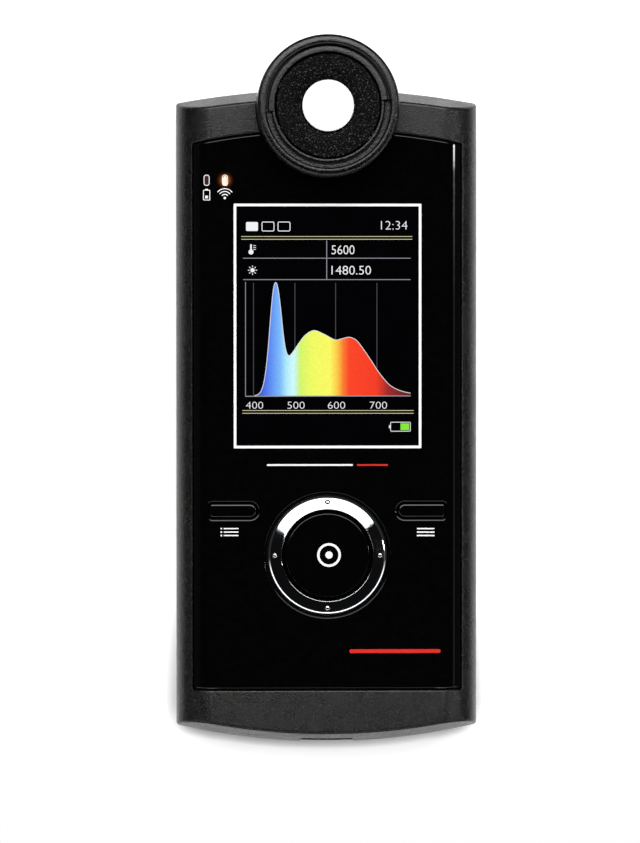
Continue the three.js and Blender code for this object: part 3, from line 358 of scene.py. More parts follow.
class Nodes:
    """The shader nodes of a material or the world."""

    def __init__(self, owner):
        owner.use_nodes = True
        self.owner, self.tree = owner, owner.node_tree
        self.tree.nodes.clear()

    def add(self, kind, inputs=None, **settings):
        """Adds a node. An input's value is a number, a colour or another node's socket."""
        node = self.tree.nodes.new(f"ShaderNode{kind}")
        for key, value in settings.items():
            setattr(node, key, value)
        for key, value in (inputs or {}).items():
            socket = node.inputs[key]
            if isinstance(value, bpy.types.NodeSocket):
                self.tree.links.new(value, socket)
            elif socket.type == "RGBA":
                socket.default_value = (*value, 1)
            else:
                socket.default_value = value
        return node

    def math(self, operation, *values):
        return self.add("Math", dict(enumerate(values)), operation=operation).outputs[0]

    def times(self, product, *others):
        for other in others:
            product = self.math("MULTIPLY", product, other)
        return product

    def place(self, stretch=(1, 1, 1)):
        """The place on a piece in millimetres. A stretch below 1 draws a pattern out along that axis."""
        raw = self.add("TexCoord").outputs["Object"]
        return self.add("Mapping", {"Vector": raw, "Scale": [s / MM for s in stretch]}).outputs[0]

    def axes(self, vector):
        return self.add("SeparateXYZ", {0: vector}).outputs

    def noise(self, place, scale, detail, rough=0.5):
        inputs = {"Vector": place, "Scale": scale, "Detail": detail, "Roughness": rough}
        return self.add("TexNoise", inputs).outputs[0]

    def bump(self, height, strength, distance):
        inputs = {"Height": height, "Strength": strength, "Distance": distance * MM}
        return self.add("Bump", inputs).outputs[0]

    def tint(self, factor, low, high):
        """A mix of two colours."""
        return self.add("Mix", {"Factor": factor, "A": low, "B": high}, data_type="RGBA").outputs["Result"]

    def spread(self, value, low, high, start=0.3, end=0.7):
        """Runs from low to high while the value runs from start to end."""
        inputs = {"Value": value, "From Min": start, "From Max": end, "To Min": low, "To Max": high}
        return self.add("MapRange", inputs).outputs[0]

    def smooth(self, value, start, end):
        """Runs gently from 0 to 1 while the value runs from start to end."""
        inputs = {"Value": value, "From Min": start, "From Max": end}
        return self.add("MapRange", inputs, interpolation_type="SMOOTHSTEP").outputs[0]

    def shade(self, **inputs):
        """Ends a material. Its inputs are the shader's, with _ for a space in their names."""
        named = {key.replace("_", " "): value for key, value in inputs.items()}
        shader = self.add("BsdfPrincipled", named)
        self.add("OutputMaterial", {"Surface": shader.outputs[0]})
        return self.owner

    def lit(self, colour, strength):
        """Ends a material that gives its own light."""
        return self.shade(Base_Color=(0.01, 0.01, 0.01), Roughness=0.4, Specular_IOR_Level=0.05,
                          Emission_Color=colour, Emission_Strength=strength)


def scaled(colour, share):
    return [min(c * share, 1) for c in colour]


def surface(name, base, rough, vary, grain, bump, specular=0.5, metallic=0, rough_vary=0.06, specks=None,
            stretch=(1, 1, 1), cells=False):
    """A moulded, turned or printed surface: mottled colour, uneven gloss, a fine relief, and specks, which
    are given as their strength, their colour and the two levels of the noise between which they fade in."""
    nodes = Nodes(bpy.data.materials.new(name))
    place = nodes.place(stretch)
    fine = nodes.noise(place, 1 / grain, 3, 0.6)
    broad = nodes.noise(place, 1 / PATCH, 4, 0.65)
    mottle = nodes.math("MULTIPLY_ADD", broad, 0.6, nodes.times(fine, 0.4))
    colour = nodes.tint(nodes.spread(mottle, 0, 1), scaled(base, 1 - vary), scaled(base, 1 + vary))
    relief = fine
    if cells:
        spots = nodes.add("TexVoronoi", {"Vector": place, "Scale": 1 / grain}, feature="F1")
        relief = nodes.math("MULTIPLY_ADD", fine, 0.5, spots.outputs["Distance"])
    if specks:
        strength, speck_colour, start, end = specks
        dots = nodes.noise(place, 1 / grain, 2, 0.7)
        colour = nodes.tint(nodes.spread(dots, 0, strength, start, end), colour, speck_colour)
    gloss = nodes.spread(broad, max(rough - rough_vary, 0.02), rough + rough_vary)
    return nodes.shade(Base_Color=colour, Roughness=gloss, Normal=nodes.bump(relief, bump, grain),
                       Metallic=metallic, Specular_IOR_Level=specular)


def glowing(name, colour, strength, vary=0.12):
    """A lit mark on the display or a lamp: even light with the fine grid of the screen in it."""
    nodes = Nodes(bpy.data.materials.new(name))
    grid = nodes.noise(nodes.place(), 1 / 0.12, 1)
    return nodes.lit(nodes.tint(nodes.spread(grid, 0, 1), scaled(colour, 1 - vary), colour), strength)


def panel_material():
    """Gloss black sheet, with a painted glow of the lit lamp round its window."""
    nodes = Nodes(bpy.data.materials.new("panel_gloss_black"))
    place = nodes.place()
    fine = nodes.noise(place, 0.8, 4, 0.6)
    colour = nodes.tint(nodes.spread(fine, 0, 1), (0.0005, 0.0005, 0.0006), (0.0012, 0.0012, 0.0013))
    gloss = nodes.spread(fine, 0.02, 0.045)
    wave = nodes.noise(place, 0.12, 1)
    # Painted glow: the sheet itself gives off warm light round the lit lamp, fading out within about 2 mm.
    lamp = (LAMPS[1][0], LAMP_Y, PANEL_Z)
    away = nodes.add("VectorMath", {0: place, 1: lamp}, operation="DISTANCE").outputs["Value"]
    halo = nodes.math("POWER", nodes.spread(away, 1, 0, 0.5, 2.2), 4)
    glow = nodes.tint(halo, (0, 0, 0), (0.75, 0.17, 0.03))
    return nodes.shade(Base_Color=colour, Roughness=gloss, Normal=nodes.bump(wave, 0.02, 0.5),
                       Emission_Color=glow, Emission_Strength=0.75, Specular_IOR_Level=0.45)


# Each surface has a colour, a roughness, how much both vary, the size of its grain and its relief.
HOUSING = surface("housing_grain", (0.003, 0.0028, 0.0026), 0.27, 0.3, 0.27, 0.3, specular=0.45,
                  specks=(1, (0.11, 0.104, 0.098), 0.58, 0.82))
HEAD = surface("head_grain", (0.0012, 0.0011, 0.001), 0.16, 0.3, 0.32, 0.33, specular=0.55,
               specks=(1, (0.042, 0.04, 0.037), 0.6, 0.82))
SPECKLED = surface("speckled_disc", (0.0012, 0.0011, 0.0011), 0.33, 0.4, 0.36, 0.5, specular=0.04,
                   specks=(1, (0.098, 0.091, 0.087), 0.57, 0.74))
KEY = surface("key_satin", (0.0007, 0.0007, 0.0008), 0.06, 0.3, 0.4, 0.01, specular=0.6, rough_vary=0.02)
RING = surface("ring_dark_metal", (0.53, 0.55, 0.58), 0.05, 0.04, 0.5, 0.01, metallic=1, rough_vary=0.02)
GLASS = surface("display_glass", (0.0006, 0.0006, 0.001), 0.04, 0.4, 0.6, 0.003, rough_vary=0.02)
OPAL = surface("opal_diffuser", (0.93, 0.93, 0.92), 0.45, 0.015, 0.25, 0.04)
WHITE_INK = surface("white_ink", (0.87, 0.87, 0.86), 0.4, 0.04, 0.15, 0.04)
RED_INK = surface("red_ink", (0.62, 0.018, 0.012), 0.4, 0.06, 0.15, 0.04, specular=0.2)
RUBBER = surface("soft_rubber", (0.018, 0.018, 0.019), 0.75, 0.3, 0.5, 0.2)
INNER = surface("inner_plastic", (0.02, 0.02, 0.02), 0.55, 0.2, 0.4, 0.2, cells=True)
BOARD = surface("solder_mask", (0.02, 0.13, 0.045), 0.35, 0.25, 0.8, 0.15,
                specks=(0.5, (0.4, 0.36, 0.12), 0.52, 0.72))
CHIP = surface("chip_epoxy", (0.018, 0.018, 0.02), 0.5, 0.2, 0.25, 0.2)
PLATED = surface("plated_sheet", (0.55, 0.56, 0.57), 0.28, 0.08, 0.5, 0.04, metallic=1, stretch=(0.2, 1, 1))
FLEX = surface("amber_film", (0.38, 0.13, 0.02), 0.35, 0.12, 0.9, 0.08, stretch=(1, 0.15, 1))
BRASS = surface("turned_brass", (0.62, 0.43, 0.17), 0.3, 0.1, 0.35, 0.06, metallic=1)
STEEL = surface("screw_steel", (0.33, 0.34, 0.35), 0.32, 0.15, 0.3, 0.06, metallic=1)
WRAP = surface("battery_wrap", (0.15, 0.18, 0.21), 0.38, 0.08, 0.9, 0.06)
LABEL = surface("bare_label", (0.34, 0.345, 0.35), 0.4, 0.05, 0.5, 0.03)
PANEL = panel_material()
LIT_WHITE = glowing("lit_white", (0.88, 0.89, 0.91), 1.05)
LIT_GREY = glowing("lit_grey", (0.33, 0.33, 0.39), 0.9)
LIT_CREAM = glowing("lit_cream", (0.74, 0.70, 0.42), 1.0)
LIT_DIM = glowing("lit_dim", (0.07, 0.065, 0.085), 0.9)
LIT_LINE = glowing("lit_outline", (0.82, 0.83, 0.86), 0.95)
LIT_GREEN = glowing("lit_green", (0.22, 0.85, 0.03), 1.0)
LAMP_DARK = glowing("lamp_dark_red", (0.045, 0.006, 0.005), 0.8, vary=0.3)
LAMP_LIT = glowing("lamp_lit_warm", (1.0, 0.86, 0.70), 1.15, vary=0.06)


# the case

def surf(x):
    """Height of the front face at x."""
    over = min(max(abs(x) - FLAT_HALF, 0) / (HALF - FLAT_HALF), 1)
    return WIDEST_Z + (DEPTH - WIDEST_Z) * math.sqrt(1 - over ** SHOULDER_POWER)


def rise(z):
    return min(max((z - WIDEST_Z) / (DEPTH - WIDEST_Z), 0), 1)


def back_inset(z):
    drop = min(max(BACK_ROUND - z, 0), BACK_ROUND)
    return BACK_ROUND - math.sqrt(BACK_ROUND ** 2 - drop ** 2)


def half_at(z):
    side = FLAT_HALF + (HALF - FLAT_HALF) * (1 - rise(z) ** 2) ** (1 / SHOULDER_POWER)
    return side - back_inset(z)


def softened(reach, radius):
    """How far a rounded edge draws back, at a distance from the sharp edge it replaces."""
    if reach >= radius:
        return 0
    return radius - math.sqrt(radius ** 2 - (radius - reach) ** 2)


def body_ring(z, grow=0, edge=END_EDGE):
    """The case's outline at height z, grown by a distance."""
    half = half_at(z) + grow
    lean = END_LEAN * rise(z) + back_inset(z) - grow
    inner = half - SIDE_STEPS[-1]
    xs = [-half + step for step in SIDE_STEPS]
    xs += [-inner + 2 * inner * k / BODY_COLUMNS for k in range(1, BODY_COLUMNS)]
    xs += [half - step for step in reversed(SIDE_STEPS)]
    low, high = [], []
    for x in xs:
        across = half - abs(x)
        up = surf(x) - z
        reach = across
        if z > WIDEST_Z and across + up > 0:
            reach = across * up / math.hypot(across, up)
        cut = softened(max(reach, 0), edge)
        low.append((x, LOW + LOW_CROWN * (x / HALF) ** 2 + lean + cut, z))
        high.append((x, HIGH - HIGH_CROWN * (x / HALF) ** 2 - lean - cut, z))
    return low + high[::-1]


def case_solid(name, levels, grow=0, edge=END_EDGE):
    """A solid of the case's outline through these heights."""
    return loft(name, [body_ring(z, grow, edge) for z in levels], strip=True)


def shoulder_levels():
    levels = [WIDEST_Z + (DEPTH - WIDEST_Z) * math.sin(math.pi / 2 * k / 30) for k in range(1, 30)]
    levels += [DEPTH - step for step in (0.32, 0.2, 0.11, 0.05, 0.012, 0)]
    return sorted(set(levels))


BACK_LEVELS = [0] + [BACK_ROUND * inward for inward, _ in quarter(12)]


def panel_ring(grow, height, edge=0.3):
    """A ring of the panel's outline, height above the front face. Height may depend on x."""
    half = PANEL_HALF + grow
    near = PANEL_STEPS[-1]
    wing = half - FLAT_HALF + WING_OVERLAP
    inner = half - wing
    xs = [-half + step for step in PANEL_STEPS]
    xs += [-half + near + (wing - near) * k / WING_COLUMNS for k in range(1, WING_COLUMNS + 1)]
    middle = [-inner + 2 * inner * k / PANEL_COLUMNS for k in range(1, PANEL_COLUMNS)]
    xs = xs + middle + [-x for x in reversed(xs)]
    low, high = [], []
    for x in xs:
        cut = softened(half - abs(x), edge)
        z = surf(x) + (height(x) if callable(height) else height)
        low.append((x, PANEL_LOW - grow + cut, z))
        high.append((x, PANEL_HIGH + grow - cut - PANEL_CROWN * (x / HALF) ** 2, z))
    return low + high[::-1]


def panel_under(x):
    """Height of the panel's lower face, from the front face."""
    over = min(max(abs(x) - FLAT_HALF, 0) / (PANEL_HALF - FLAT_HALF), 1)
    return -PANEL_DROP - (PANEL_THICK + (PANEL_EDGE_THICK - PANEL_THICK) * over)


def recess_tool():
    """Cuts the panel's recess, with a small rounded edge at the front face."""
    edge = ((0, -0.2), (0.06, -0.09), (0.15, -0.03), (0.28, 0), (1.28, 1))
    rings = [panel_ring(PANEL_GAP, lambda x: panel_under(x) - ADHESIVE)]
    rings += [panel_ring(PANEL_GAP + grow, height) for grow, height in edge]
    return loft("recess", rings, strip=True)


def notch_tool(floor, top, flare):
    """Cuts the head's notch, with a small chamfer at the front face."""
    levels = ((NOTCH_R, floor), (NOTCH_R, top - flare), (NOTCH_R + flare * 0.35, top - flare * 0.35),
              (NOTCH_R + flare, top), (NOTCH_R + flare + 1, top + 1))
    return loft("notch", [flat_ring(reach, HEAD_CENTRE, z) for reach, z in levels])


def key_box(side):
    x0 = side * KEY_X - KEY_LENGTH / 2
    return x0, x0 + KEY_LENGTH, KEY_Y - KEY_WIDTH / 2, KEY_Y + KEY_WIDTH / 2


def key_radii(side):
    outer, inner = KEY_CORNER, KEY_WIDTH / 2 - 0.02
    return (outer, inner, inner, outer) if side < 0 else (inner, outer, outer, inner)


def key_tool(side):
    """Cuts a key's slot, with a dished rim."""
    wider = KEY_DISH - KEY_GAP
    levels = [(KEY_GAP, CUT_LOW), (KEY_GAP, PANEL_Z - KEY_DISH_DEPTH)]
    levels += [(KEY_GAP + wider * inward, PANEL_Z - KEY_DISH_DEPTH * left) for inward, left in quarter(8)]
    levels += [(KEY_DISH + 0.25, PANEL_Z + 0.02), (KEY_DISH + 1, PANEL_Z + 1)]
    return prism("key_tool", key_box(side), key_radii(side), levels, 12)


def ring_tool():
    """Cuts the ring's hole, with a dish round it."""
    floor = PANEL_Z - RING_DISH_DEPTH
    edge = ((-0.2, -0.2), (-0.16, -0.1), (-0.08, -0.04), (0, 0), (0.3, 0.05), (0.8, 1))
    profile = [(0, CUT_LOW), (RING_HOLE, CUT_LOW), (RING_HOLE, floor), (RING_DISH - 0.22, floor)]
    profile += [(RING_DISH + out, PANEL_Z + up) for out, up in edge]
    return lathe("ring_tool", profile + [(0, PANEL_Z + 1)], RING_CENTRE)


def lamp_box(x):
    return around(x, LAMP_Y, LAMP_WIDTH / 2, LAMP_LENGTH / 2)


def front_tools():
    """Cuts the openings that the panel and the deck under it share."""
    tools = [key_tool(-1), key_tool(1), ring_tool()]
    tools.append(block("hole", *grown(WINDOW, WINDOW_GAP), CUT_LOW, CUT_HIGH))
    for x, _ in LAMPS:
        tools.append(block("hole", *grown(lamp_box(x), LAMP_GAP), CUT_LOW, CUT_HIGH))
    return tools


def socket_tools():
    """Cuts the micro socket's opening and the recess round it."""
    recess = along_length("recess", SOCKET_RECESS, 0.9, [(1.4, 0), (0.2, 0.55), (0, 0.7), (0, 1)],
                          LOW - 1, LOW + 0.9)
    opening = along_length("opening", SOCKET, 0.5, [(SOCKET_GAP, 0), (SOCKET_GAP, 1)], LOW, LOW + 8)
    return [recess, opening]


def notch_wall(low, high, grow, levels):
    """The wall round the head's notch, kept inside the case."""
    wall = cylinder("wall", NOTCH_WALL_R, low, high, HEAD_CENTRE)
    keep(wall, case_solid("bound", levels, grow))
    return wall


def make_front_shell():
    rings = [body_ring(FRONT_BASE, -PARTING), body_ring(FRONT_BASE + PARTING), body_ring(WIDEST_Z)]
    shell = loft("case_front", rings + [body_ring(z) for z in shoulder_levels()], strip=True)
    levels = (FRONT_BASE - 1, 13, 15.5, 16.5, 17.5, 18.5, 19.3, DECK_UNDER)
    carve(shell, case_solid("hollow", levels, -WALL - 0.6))
    weld(shell, notch_wall(FRONT_BASE, 21, -0.4, (FRONT_BASE - 1, 15.5, 18, 20, 22)))
    carve(shell, recess_tool(), notch_tool(NOTCH_FLOOR, DEPTH, 0.2), *front_tools(), *socket_tools())
    finish(shell, HOUSING, "front_shell")


def make_panel():
    bevel = ((0, -0.42), (-0.04, -0.33), (-0.09, -0.26), (-0.38, -0.035), (-0.44, -0.01), (-0.5, 0))
    rings = [panel_ring(0, panel_under, PANEL_CORNER)]
    rings += [panel_ring(grow, depth - PANEL_DROP, PANEL_CORNER) for grow, depth in bevel]
    panel = loft("front_panel_sheet", rings, strip=True)
    carve(panel, notch_tool(CUT_LOW - 1, PANEL_Z, 0.3), *front_tools())
    finish(panel, PANEL, "front_panel", crease=32)


def screw_hole(centre, cap, seat, bore, top):
    """Cuts a hole for a screw from the back: a wide part with a chamfer down to its seat, then a bore."""
    profile = [(0, -1), (cap + 0.2, -1), (cap + 0.2, 0), (cap, 0.2), (cap, seat), (bore, seat), (bore, top),
               (0, top)]
    return lathe("screw_hole", profile, centre, 64)


def door_tools():
    """Cuts the battery door's recess with its chamfer, and the grooves of its tongues."""
    recess = (-DOOR_HALF - DOOR_GAP, DOOR_HALF + DOOR_GAP, DOOR_CUT, DOOR_TOP + DOOR_GAP)
    groove = TONGUE_HALF + DOOR_GAP
    top = DOOR_THICK + DOOR_GAP
    return [block("door_recess", *recess, -1, top, 0.9),
            prism("door_edge", recess, 0.9, [(1.2, -1), (0.2, 0), (0, 0.2), (0, 0.5)]),
            block("grooves", -groove, groove, DOOR_CUT, TONGUE_HIGH + DOOR_GAP,
                  TONGUE_BASE - DOOR_GAP, top)]


def make_rear_shell():
    rings = [body_ring(z) for z in BACK_LEVELS + [REAR_TOP - PARTING]] + [body_ring(REAR_TOP, -PARTING)]
    shell = loft("case_rear", rings, strip=True)
    carve(shell, case_solid("hollow", (2.2, 3, 5, REAR_TOP + 1), -WALL))
    lip = case_solid("lip", (8, LIP_TOP), -2.3, 0.4)
    carve(lip, case_solid("lip_core", (7, LIP_TOP + 1), -3.2, 0.4))
    wall = notch_wall(1, REAR_TOP, -0.3, (0.9, 2, 3.5, REAR_TOP + 1))
    boss = cylinder("boss", 6.6, 1, 9.4, TRIPOD_CENTRE, 64)
    posts = [cylinder("post", 3.4, 1, REAR_TOP, centre, 48) for centre in CASE_SCREWS]
    weld(shell, lip, block("bay", *BAY, 0.6), wall, boss, *posts)
    cuts = [notch_tool(NOTCH_FLOOR, 30, 0.4)]
    cuts += [screw_hole(centre, 2.25, 2.3, 1.2, 13) for centre in CASE_SCREWS]
    cuts += [screw_hole(centre, 1.95, 1.4, 1.1, 4) for centre in HEAD_SCREWS]
    wide = TRIPOD_HOLE + 0.25
    tripod = [(0, -1), (wide, -1), (wide, 0), (TRIPOD_HOLE, 0.25), (TRIPOD_HOLE, 8.4), (0, 8.4)]
    cuts.append(lathe("tripod_hole", tripod, TRIPOD_CENTRE, 96))
    cuts += door_tools()
    cuts += [block("bay_room", *BAY_ROOM, 0.8), block("niche", *NICHE, 0.2)]
    carve(shell, *cuts)
    finish(shell, HOUSING, "rear_shell")


# keys and ring

def make_key(side, name):
    levels = [(0, KEY_BASE), (0, KEY_TOP - KEY_EDGE)]
    levels += [(-KEY_EDGE * inward, KEY_TOP - KEY_EDGE * left) for inward, left in quarter(7)]
    key = prism(f"{name}_cap", key_box(side), key_radii(side), levels, 14)
    centre = (side * KEY_X, KEY_Y)
    flange = block("flange", *around(*centre, 4.2, 2.7), 18.8, KEY_BASE + 0.01, 0.4)
    weld(key, flange, cylinder("stem", 1.2, STEM_FOOT, STEM_TOP, centre, 32))
    finish(key, KEY, name, body=name)


def ring_height(r):
    """Height of the ring's sloped face at radius r."""
    (inner, high), (outer, low) = RING_SLOPE
    return high - (r - inner) * (high - low) / (outer - inner)


def make_ring():
    profile = [(RING_INNER, RING_BASE), (RING_FLANGE, RING_BASE), (RING_FLANGE, RING_BASE + 0.8),
               (RING_OUTER, RING_BASE + 0.8), (RING_OUTER, 22.78)]
    profile += bend(RING_OUTER - 0.28, 22.74, 0.28, 0, 62, 7)
    profile += [(11.56, 23.07), (11.2, ring_height(11.2)), (9.6, ring_height(9.6))]
    profile += bend(RING_INNER + 0.1, 23.99, 0.1, 70, 180, 6)
    ring = lathe("ring_polished", profile, RING_CENTRE, 192)
    foot = ring_height(DOT_PLACE)
    dot = [(0, foot - 0.5), (DOT_R, foot - 0.5), (DOT_R, foot - 0.22)]
    for turn in (0.2, 0.4, 0.6, 0.8, 1.0, 1.2, 1.4):
        dot.append((DOT_R * math.cos(turn), foot - 0.22 + 0.5 * math.sin(turn)))
    dot.append((0, foot + 0.28))
    nubs = [cylinder("nub", NUB_R, NUB_FOOT, STEM_TOP, place, 32)
            for place in circle(NUB_PLACE, RING_CENTRE, 4)]
    dots = [lathe("dot", dot, place, 32) for place in circle(DOT_PLACE, RING_CENTRE, 4)]
    weld(ring, *nubs, *dots)
    finish(ring, RING, "navigation_ring", body="navigation_ring")


def make_measure_key():
    top, radius, edge = MEASURE_TOP, MEASURE_R, MEASURE_EDGE
    profile = [(0, STEM_FOOT), (2, STEM_FOOT), (2, 20.6), (9.35, 20.6), (9.35, 21.2), (radius, 21.2),
               (radius, top - edge)]
    profile += bend(radius - edge, top - edge, edge, 0, 82, 8)[1:]
    profile += [(radius - edge - 0.03, top), (7.0, top), (5, top), (2.5, top), (0, top)]
    cap = lathe("measure_cap", profile, RING_CENTRE, 160)
    finish(cap, KEY, "measure_key", body="measure_key")


# marks

class Marks:
    """Flat printed or lit marks at one height, gathered into one thin piece."""

    ROOT = 0.01

    def __init__(self, height, thick=0.02):
        self.levels = (height - self.ROOT, height + thick)
        self.vertices, self.faces = [], []

    def point(self, place, high):
        self.vertices.append((*place, self.levels[high]))

    def ribbon(self, left, right, closed=False):
        """A strip between two lines of points."""
        start, count = len(self.vertices), len(left)
        for a, b in zip(left, right):
            self.point(a, False)
            self.point(a, True)
            self.point(b, True)
            self.point(b, False)
        for k in range(count if closed else count - 1):
            self.faces += between(start + 4 * k, start + 4 * ((k + 1) % count), 4)
        if not closed:
            for end in (start, start + 4 * (count - 1)):
                self.faces.append((end, end + 1, end + 2, end + 3))

    def line(self, points, width, closed=False):
        left, right = [], []
        count = len(points)
        for k, point in enumerate(points):
            before = points[(k - 1) % count] if closed or k else point
            after = points[(k + 1) % count] if closed or k < count - 1 else point
            back = (Vector(point) - Vector(before)).normalized()
            ahead = (Vector(after) - Vector(point)).normalized()
            way = (back + ahead).normalized()
            across = Vector((-way.y, way.x))
            straight = ahead if ahead.length else back
            reach = width / 2 / max(abs(across.dot(Vector((-straight.y, straight.x)))), 0.4)
            left.append(tuple(Vector(point) + across * reach))
            right.append(tuple(Vector(point) - across * reach))
        self.ribbon(left, right, closed)

    def plate(self, outline):
        """A filled outline without hollows."""
        start, count = len(self.vertices), len(outline)
        middle = (sum(x for x, _ in outline) / count, sum(y for _, y in outline) / count)
        for high in (False, True):
            for place in (*outline, middle):
                self.point(place, high)
        top = start + count + 1
        for k in range(count):
            after = (k + 1) % count
            self.faces.append((start + k, start + after, top + after, top + k))
            self.faces.append((start + k, start + after, start + count))
            self.faces.append((top + k, top + after, top + count))

    def frame(self, box, radius, width):
        """The outline of a rounded box."""
        self.line(rounded(*box, radius, 3), width, closed=True)

    def band(self, outer, outer_radius, inner, inner_radius, steps):
        """A rounded frame between two boxes."""
        self.ribbon(rounded(*outer, outer_radius, steps), rounded(*inner, inner_radius, steps), closed=True)

    def ring(self, centre, outer, inner, steps):
        self.ribbon(circle(outer, centre, steps), circle(inner, centre, steps), closed=True)

    def arch(self, centre, outer, inner, start, end, steps):
        left, right = [[polar(radius, turn, centre) for turn in turns(start, end, steps)]
                       for radius in (outer, inner)]
        self.ribbon(left, right)

    def disc(self, centre, radius, steps=32):
        self.plate(circle(radius, centre, steps))

    def bar(self, x0, x1, y0, y1, radius=0):
        if radius:
            self.plate(rounded(x0, x1, y0, y1, radius, 5))
        else:
            self.plate([(x0, y0), (x1, y0), (x1, y1), (x0, y1)])

    def numerals(self, text, box, thin):
        """Numerals of Blender's own font, fitted to a box, with their strokes made thinner."""
        x0, x1, y0, y1 = box
        curve = bpy.data.curves.new("numerals", "FONT")
        curve.offset = -thin
        curve.body = text
        curve.extrude = 0.1
        curve.resolution_u = 4
        holder = bpy.data.objects.new("numerals", curve)
        bpy.context.scene.collection.objects.link(holder)
        mesh = applied(holder)
        bpy.data.objects.remove(holder)
        low = [min(v.co[i] for v in mesh.vertices) for i in range(3)]
        high = [max(v.co[i] for v in mesh.vertices) for i in range(3)]
        start = len(self.vertices)
        for vertex in mesh.vertices:
            share = [(vertex.co[i] - low[i]) / (high[i] - low[i]) for i in range(3)]
            place = (x0 + (x1 - x0) * share[0], y0 + (y1 - y0) * share[1])
            self.point(place, share[2] > 0.5)
        self.faces += [tuple(start + k for k in face.vertices) for face in mesh.polygons]

    def piece(self, name, material, slot, body="housing"):
        finish(solid(name, self.vertices, self.faces), material, body=body, crease=40)


# Where the marks are, in the photograph's frame: boxes are (u0, u1, v0, v1).
FRAME_BOX = (233.6, 421.4, 203.6, 448.2)
CLOCK = (381, 407.4, 221, 229.6)
TEMPERATURE, BRIGHTNESS = (331.5, 354.5, 245.3, 254.3), (331.5, 371, 265.8, 274.6)
AXIS_NUMBERS = (("400", 254.5), ("500", 296), ("600", 336.5), ("700", 378.4))
AXIS_HALF, AXIS_TOP, AXIS_BOTTOM = 8.6, 401.7, 408.7
TAB, TAB_STEP = (246, 258, 222, 231), 16
THERMOMETER, SUN = (251, 252), (252.5, 270.2)
CHARGE = (390.6, 410.4, 422.2, 431.2)
RULES, RULE_STEP = ((236.5, 241.3, 412.3), (410.5, 242.4, 413.7)), 2.8
GRID_COLUMNS, GRID_TOP, GRID_BOTTOM = (253.5, 294.9, 335.6, 376.9), 283, 395
# Each line of the table as its width and its two ends.
TABLE_LINES = ((0.14, (243, 258.2), (410.6, 258.2)), (0.14, (243, 279.6), (410.6, 279.6)),
               (0.16, (326.7, 240.5), (326.7, 279.3)), (0.13, (245.5, 282), (245.5, 396.6)),
               (0.18, (245.5, 396.3), (410.6, 395.9)))
CURVE_BASE = (254, 395.8)
CURVE = ((254.5, 395.6), (258.5, 394.2), (262, 389), (265, 376), (268, 350), (271, 312), (273.4, 289),
         (275.7, 282.5), (278, 288.5), (280.6, 308), (283.2, 333), (285.8, 350), (288.7, 355.7),
         (292.5, 352.6), (298, 344.5), (305, 335.4), (313.9, 330.5), (324, 334.2), (334.8, 339.8),
         (341.6, 338.8), (348.5, 337.2), (353.6, 338.6), (358.4, 342.4), (368.8, 357), (377.3, 370.1),
         (383.2, 378), (389, 384.4), (395, 388.4), (402.5, 391.4), (410.6, 393.2))
# The spectrum's colours along the axis.
HUES = ((254, (0.02, 0.05, 0.45)), (264, (0.06, 0.14, 0.8)), (272, (0.12, 0.3, 0.95)), (280, (0.2, 0.5, 1)),
        (287, (0.45, 0.85, 1)), (293, (0.65, 1, 1)), (297, (0.6, 0.95, 0.6)), (300, (0.68, 0.95, 0.14)),
        (312, (0.9, 1, 0.12)), (330, (1, 0.98, 0.12)), (337, (1, 0.62, 0.05)), (343, (1, 0.2, 0.02)),
        (349, (1, 0.05, 0.008)), (376, (0.95, 0.035, 0.006)), (388, (0.35, 0.01, 0.01)),
        (411, (0.06, 0.002, 0.006)))
HUE_ROW = 400
BATTERY_SIGN = (203.4, 209.8, 190.2, 200)
RADIO_DOT, RADIO_ARCHES = (224.8, 198.0), (3.7, 6.5, 9.3)
LIST_SIGN, BARS_SIGN = (220.5, 238.5, 527.9, 536.2), (417, 434.5, 527.9, 536.2)
WHITE_STRIPE = (267, 353, 464.2, 465.8)
RED_STRIPE, LOW_STRIPE = (357, 388, 464.2, 465.8), (349.5, 440.5, 649.3, 652.9)
MEASURE_SIGN = (329, 555)

PIXEL = 0.1985
FRAME_WIDTH = 0.52


def make_display_frame():
    """The white frame printed round the display."""
    marks = Marks(PANEL_Z, 0.03)
    box = span(*FRAME_BOX)
    marks.band(box, 0.22, grown(box, -FRAME_WIDTH), 0.1, 4)
    marks.piece("display_frame", WHITE_INK, "opal_plastic")


def smooth_line(points, steps=5):
    """A smooth line through points."""
    line = []
    for k in range(len(points) - 1):
        before, here = Vector(points[max(k - 1, 0)]), Vector(points[k])
        there, after = Vector(points[k + 1]), Vector(points[min(k + 2, len(points) - 1)])
        for step in range(steps):
            t = step / steps
            line.append(tuple(0.5 * (2 * here + (there - before) * t
                                     + (2 * before - 5 * here + 4 * there - after) * t ** 2
                                     + (3 * here - before - 3 * there + after) * t ** 3)))
    return line + [tuple(points[-1])]


def spectrum_material():
    """The lit spectrum: its colour runs along the axis, with the fine grid of the screen in it."""
    nodes = Nodes(bpy.data.materials.new("lit_spectrum"))
    place = nodes.place()
    left, right = at(HUES[0][0], HUE_ROW)[0], at(HUES[-1][0], HUE_ROW)[0]
    share = nodes.spread(nodes.axes(place)[0], 0, 1, left, right)
    ramp = nodes.add("ValToRGB", {"Fac": share})
    stops = ramp.color_ramp.elements
    for k, (u, _) in enumerate(HUES):
        spot = (at(u, HUE_ROW)[0] - left) / (right - left)
        stop = stops[k] if k < 2 else stops.new(spot)
        stop.position = spot
    for stop, (_, colour) in zip(sorted(stops, key=lambda stop: stop.position), HUES):
        stop.color = (*colour, 1)
    light = nodes.spread(nodes.noise(place, 7, 1), 0.86, 1.04)
    colour = nodes.add("VectorMath", {0: ramp.outputs[0], "Scale": light}, operation="SCALE").outputs[0]
    return nodes.lit(colour, 1.0)


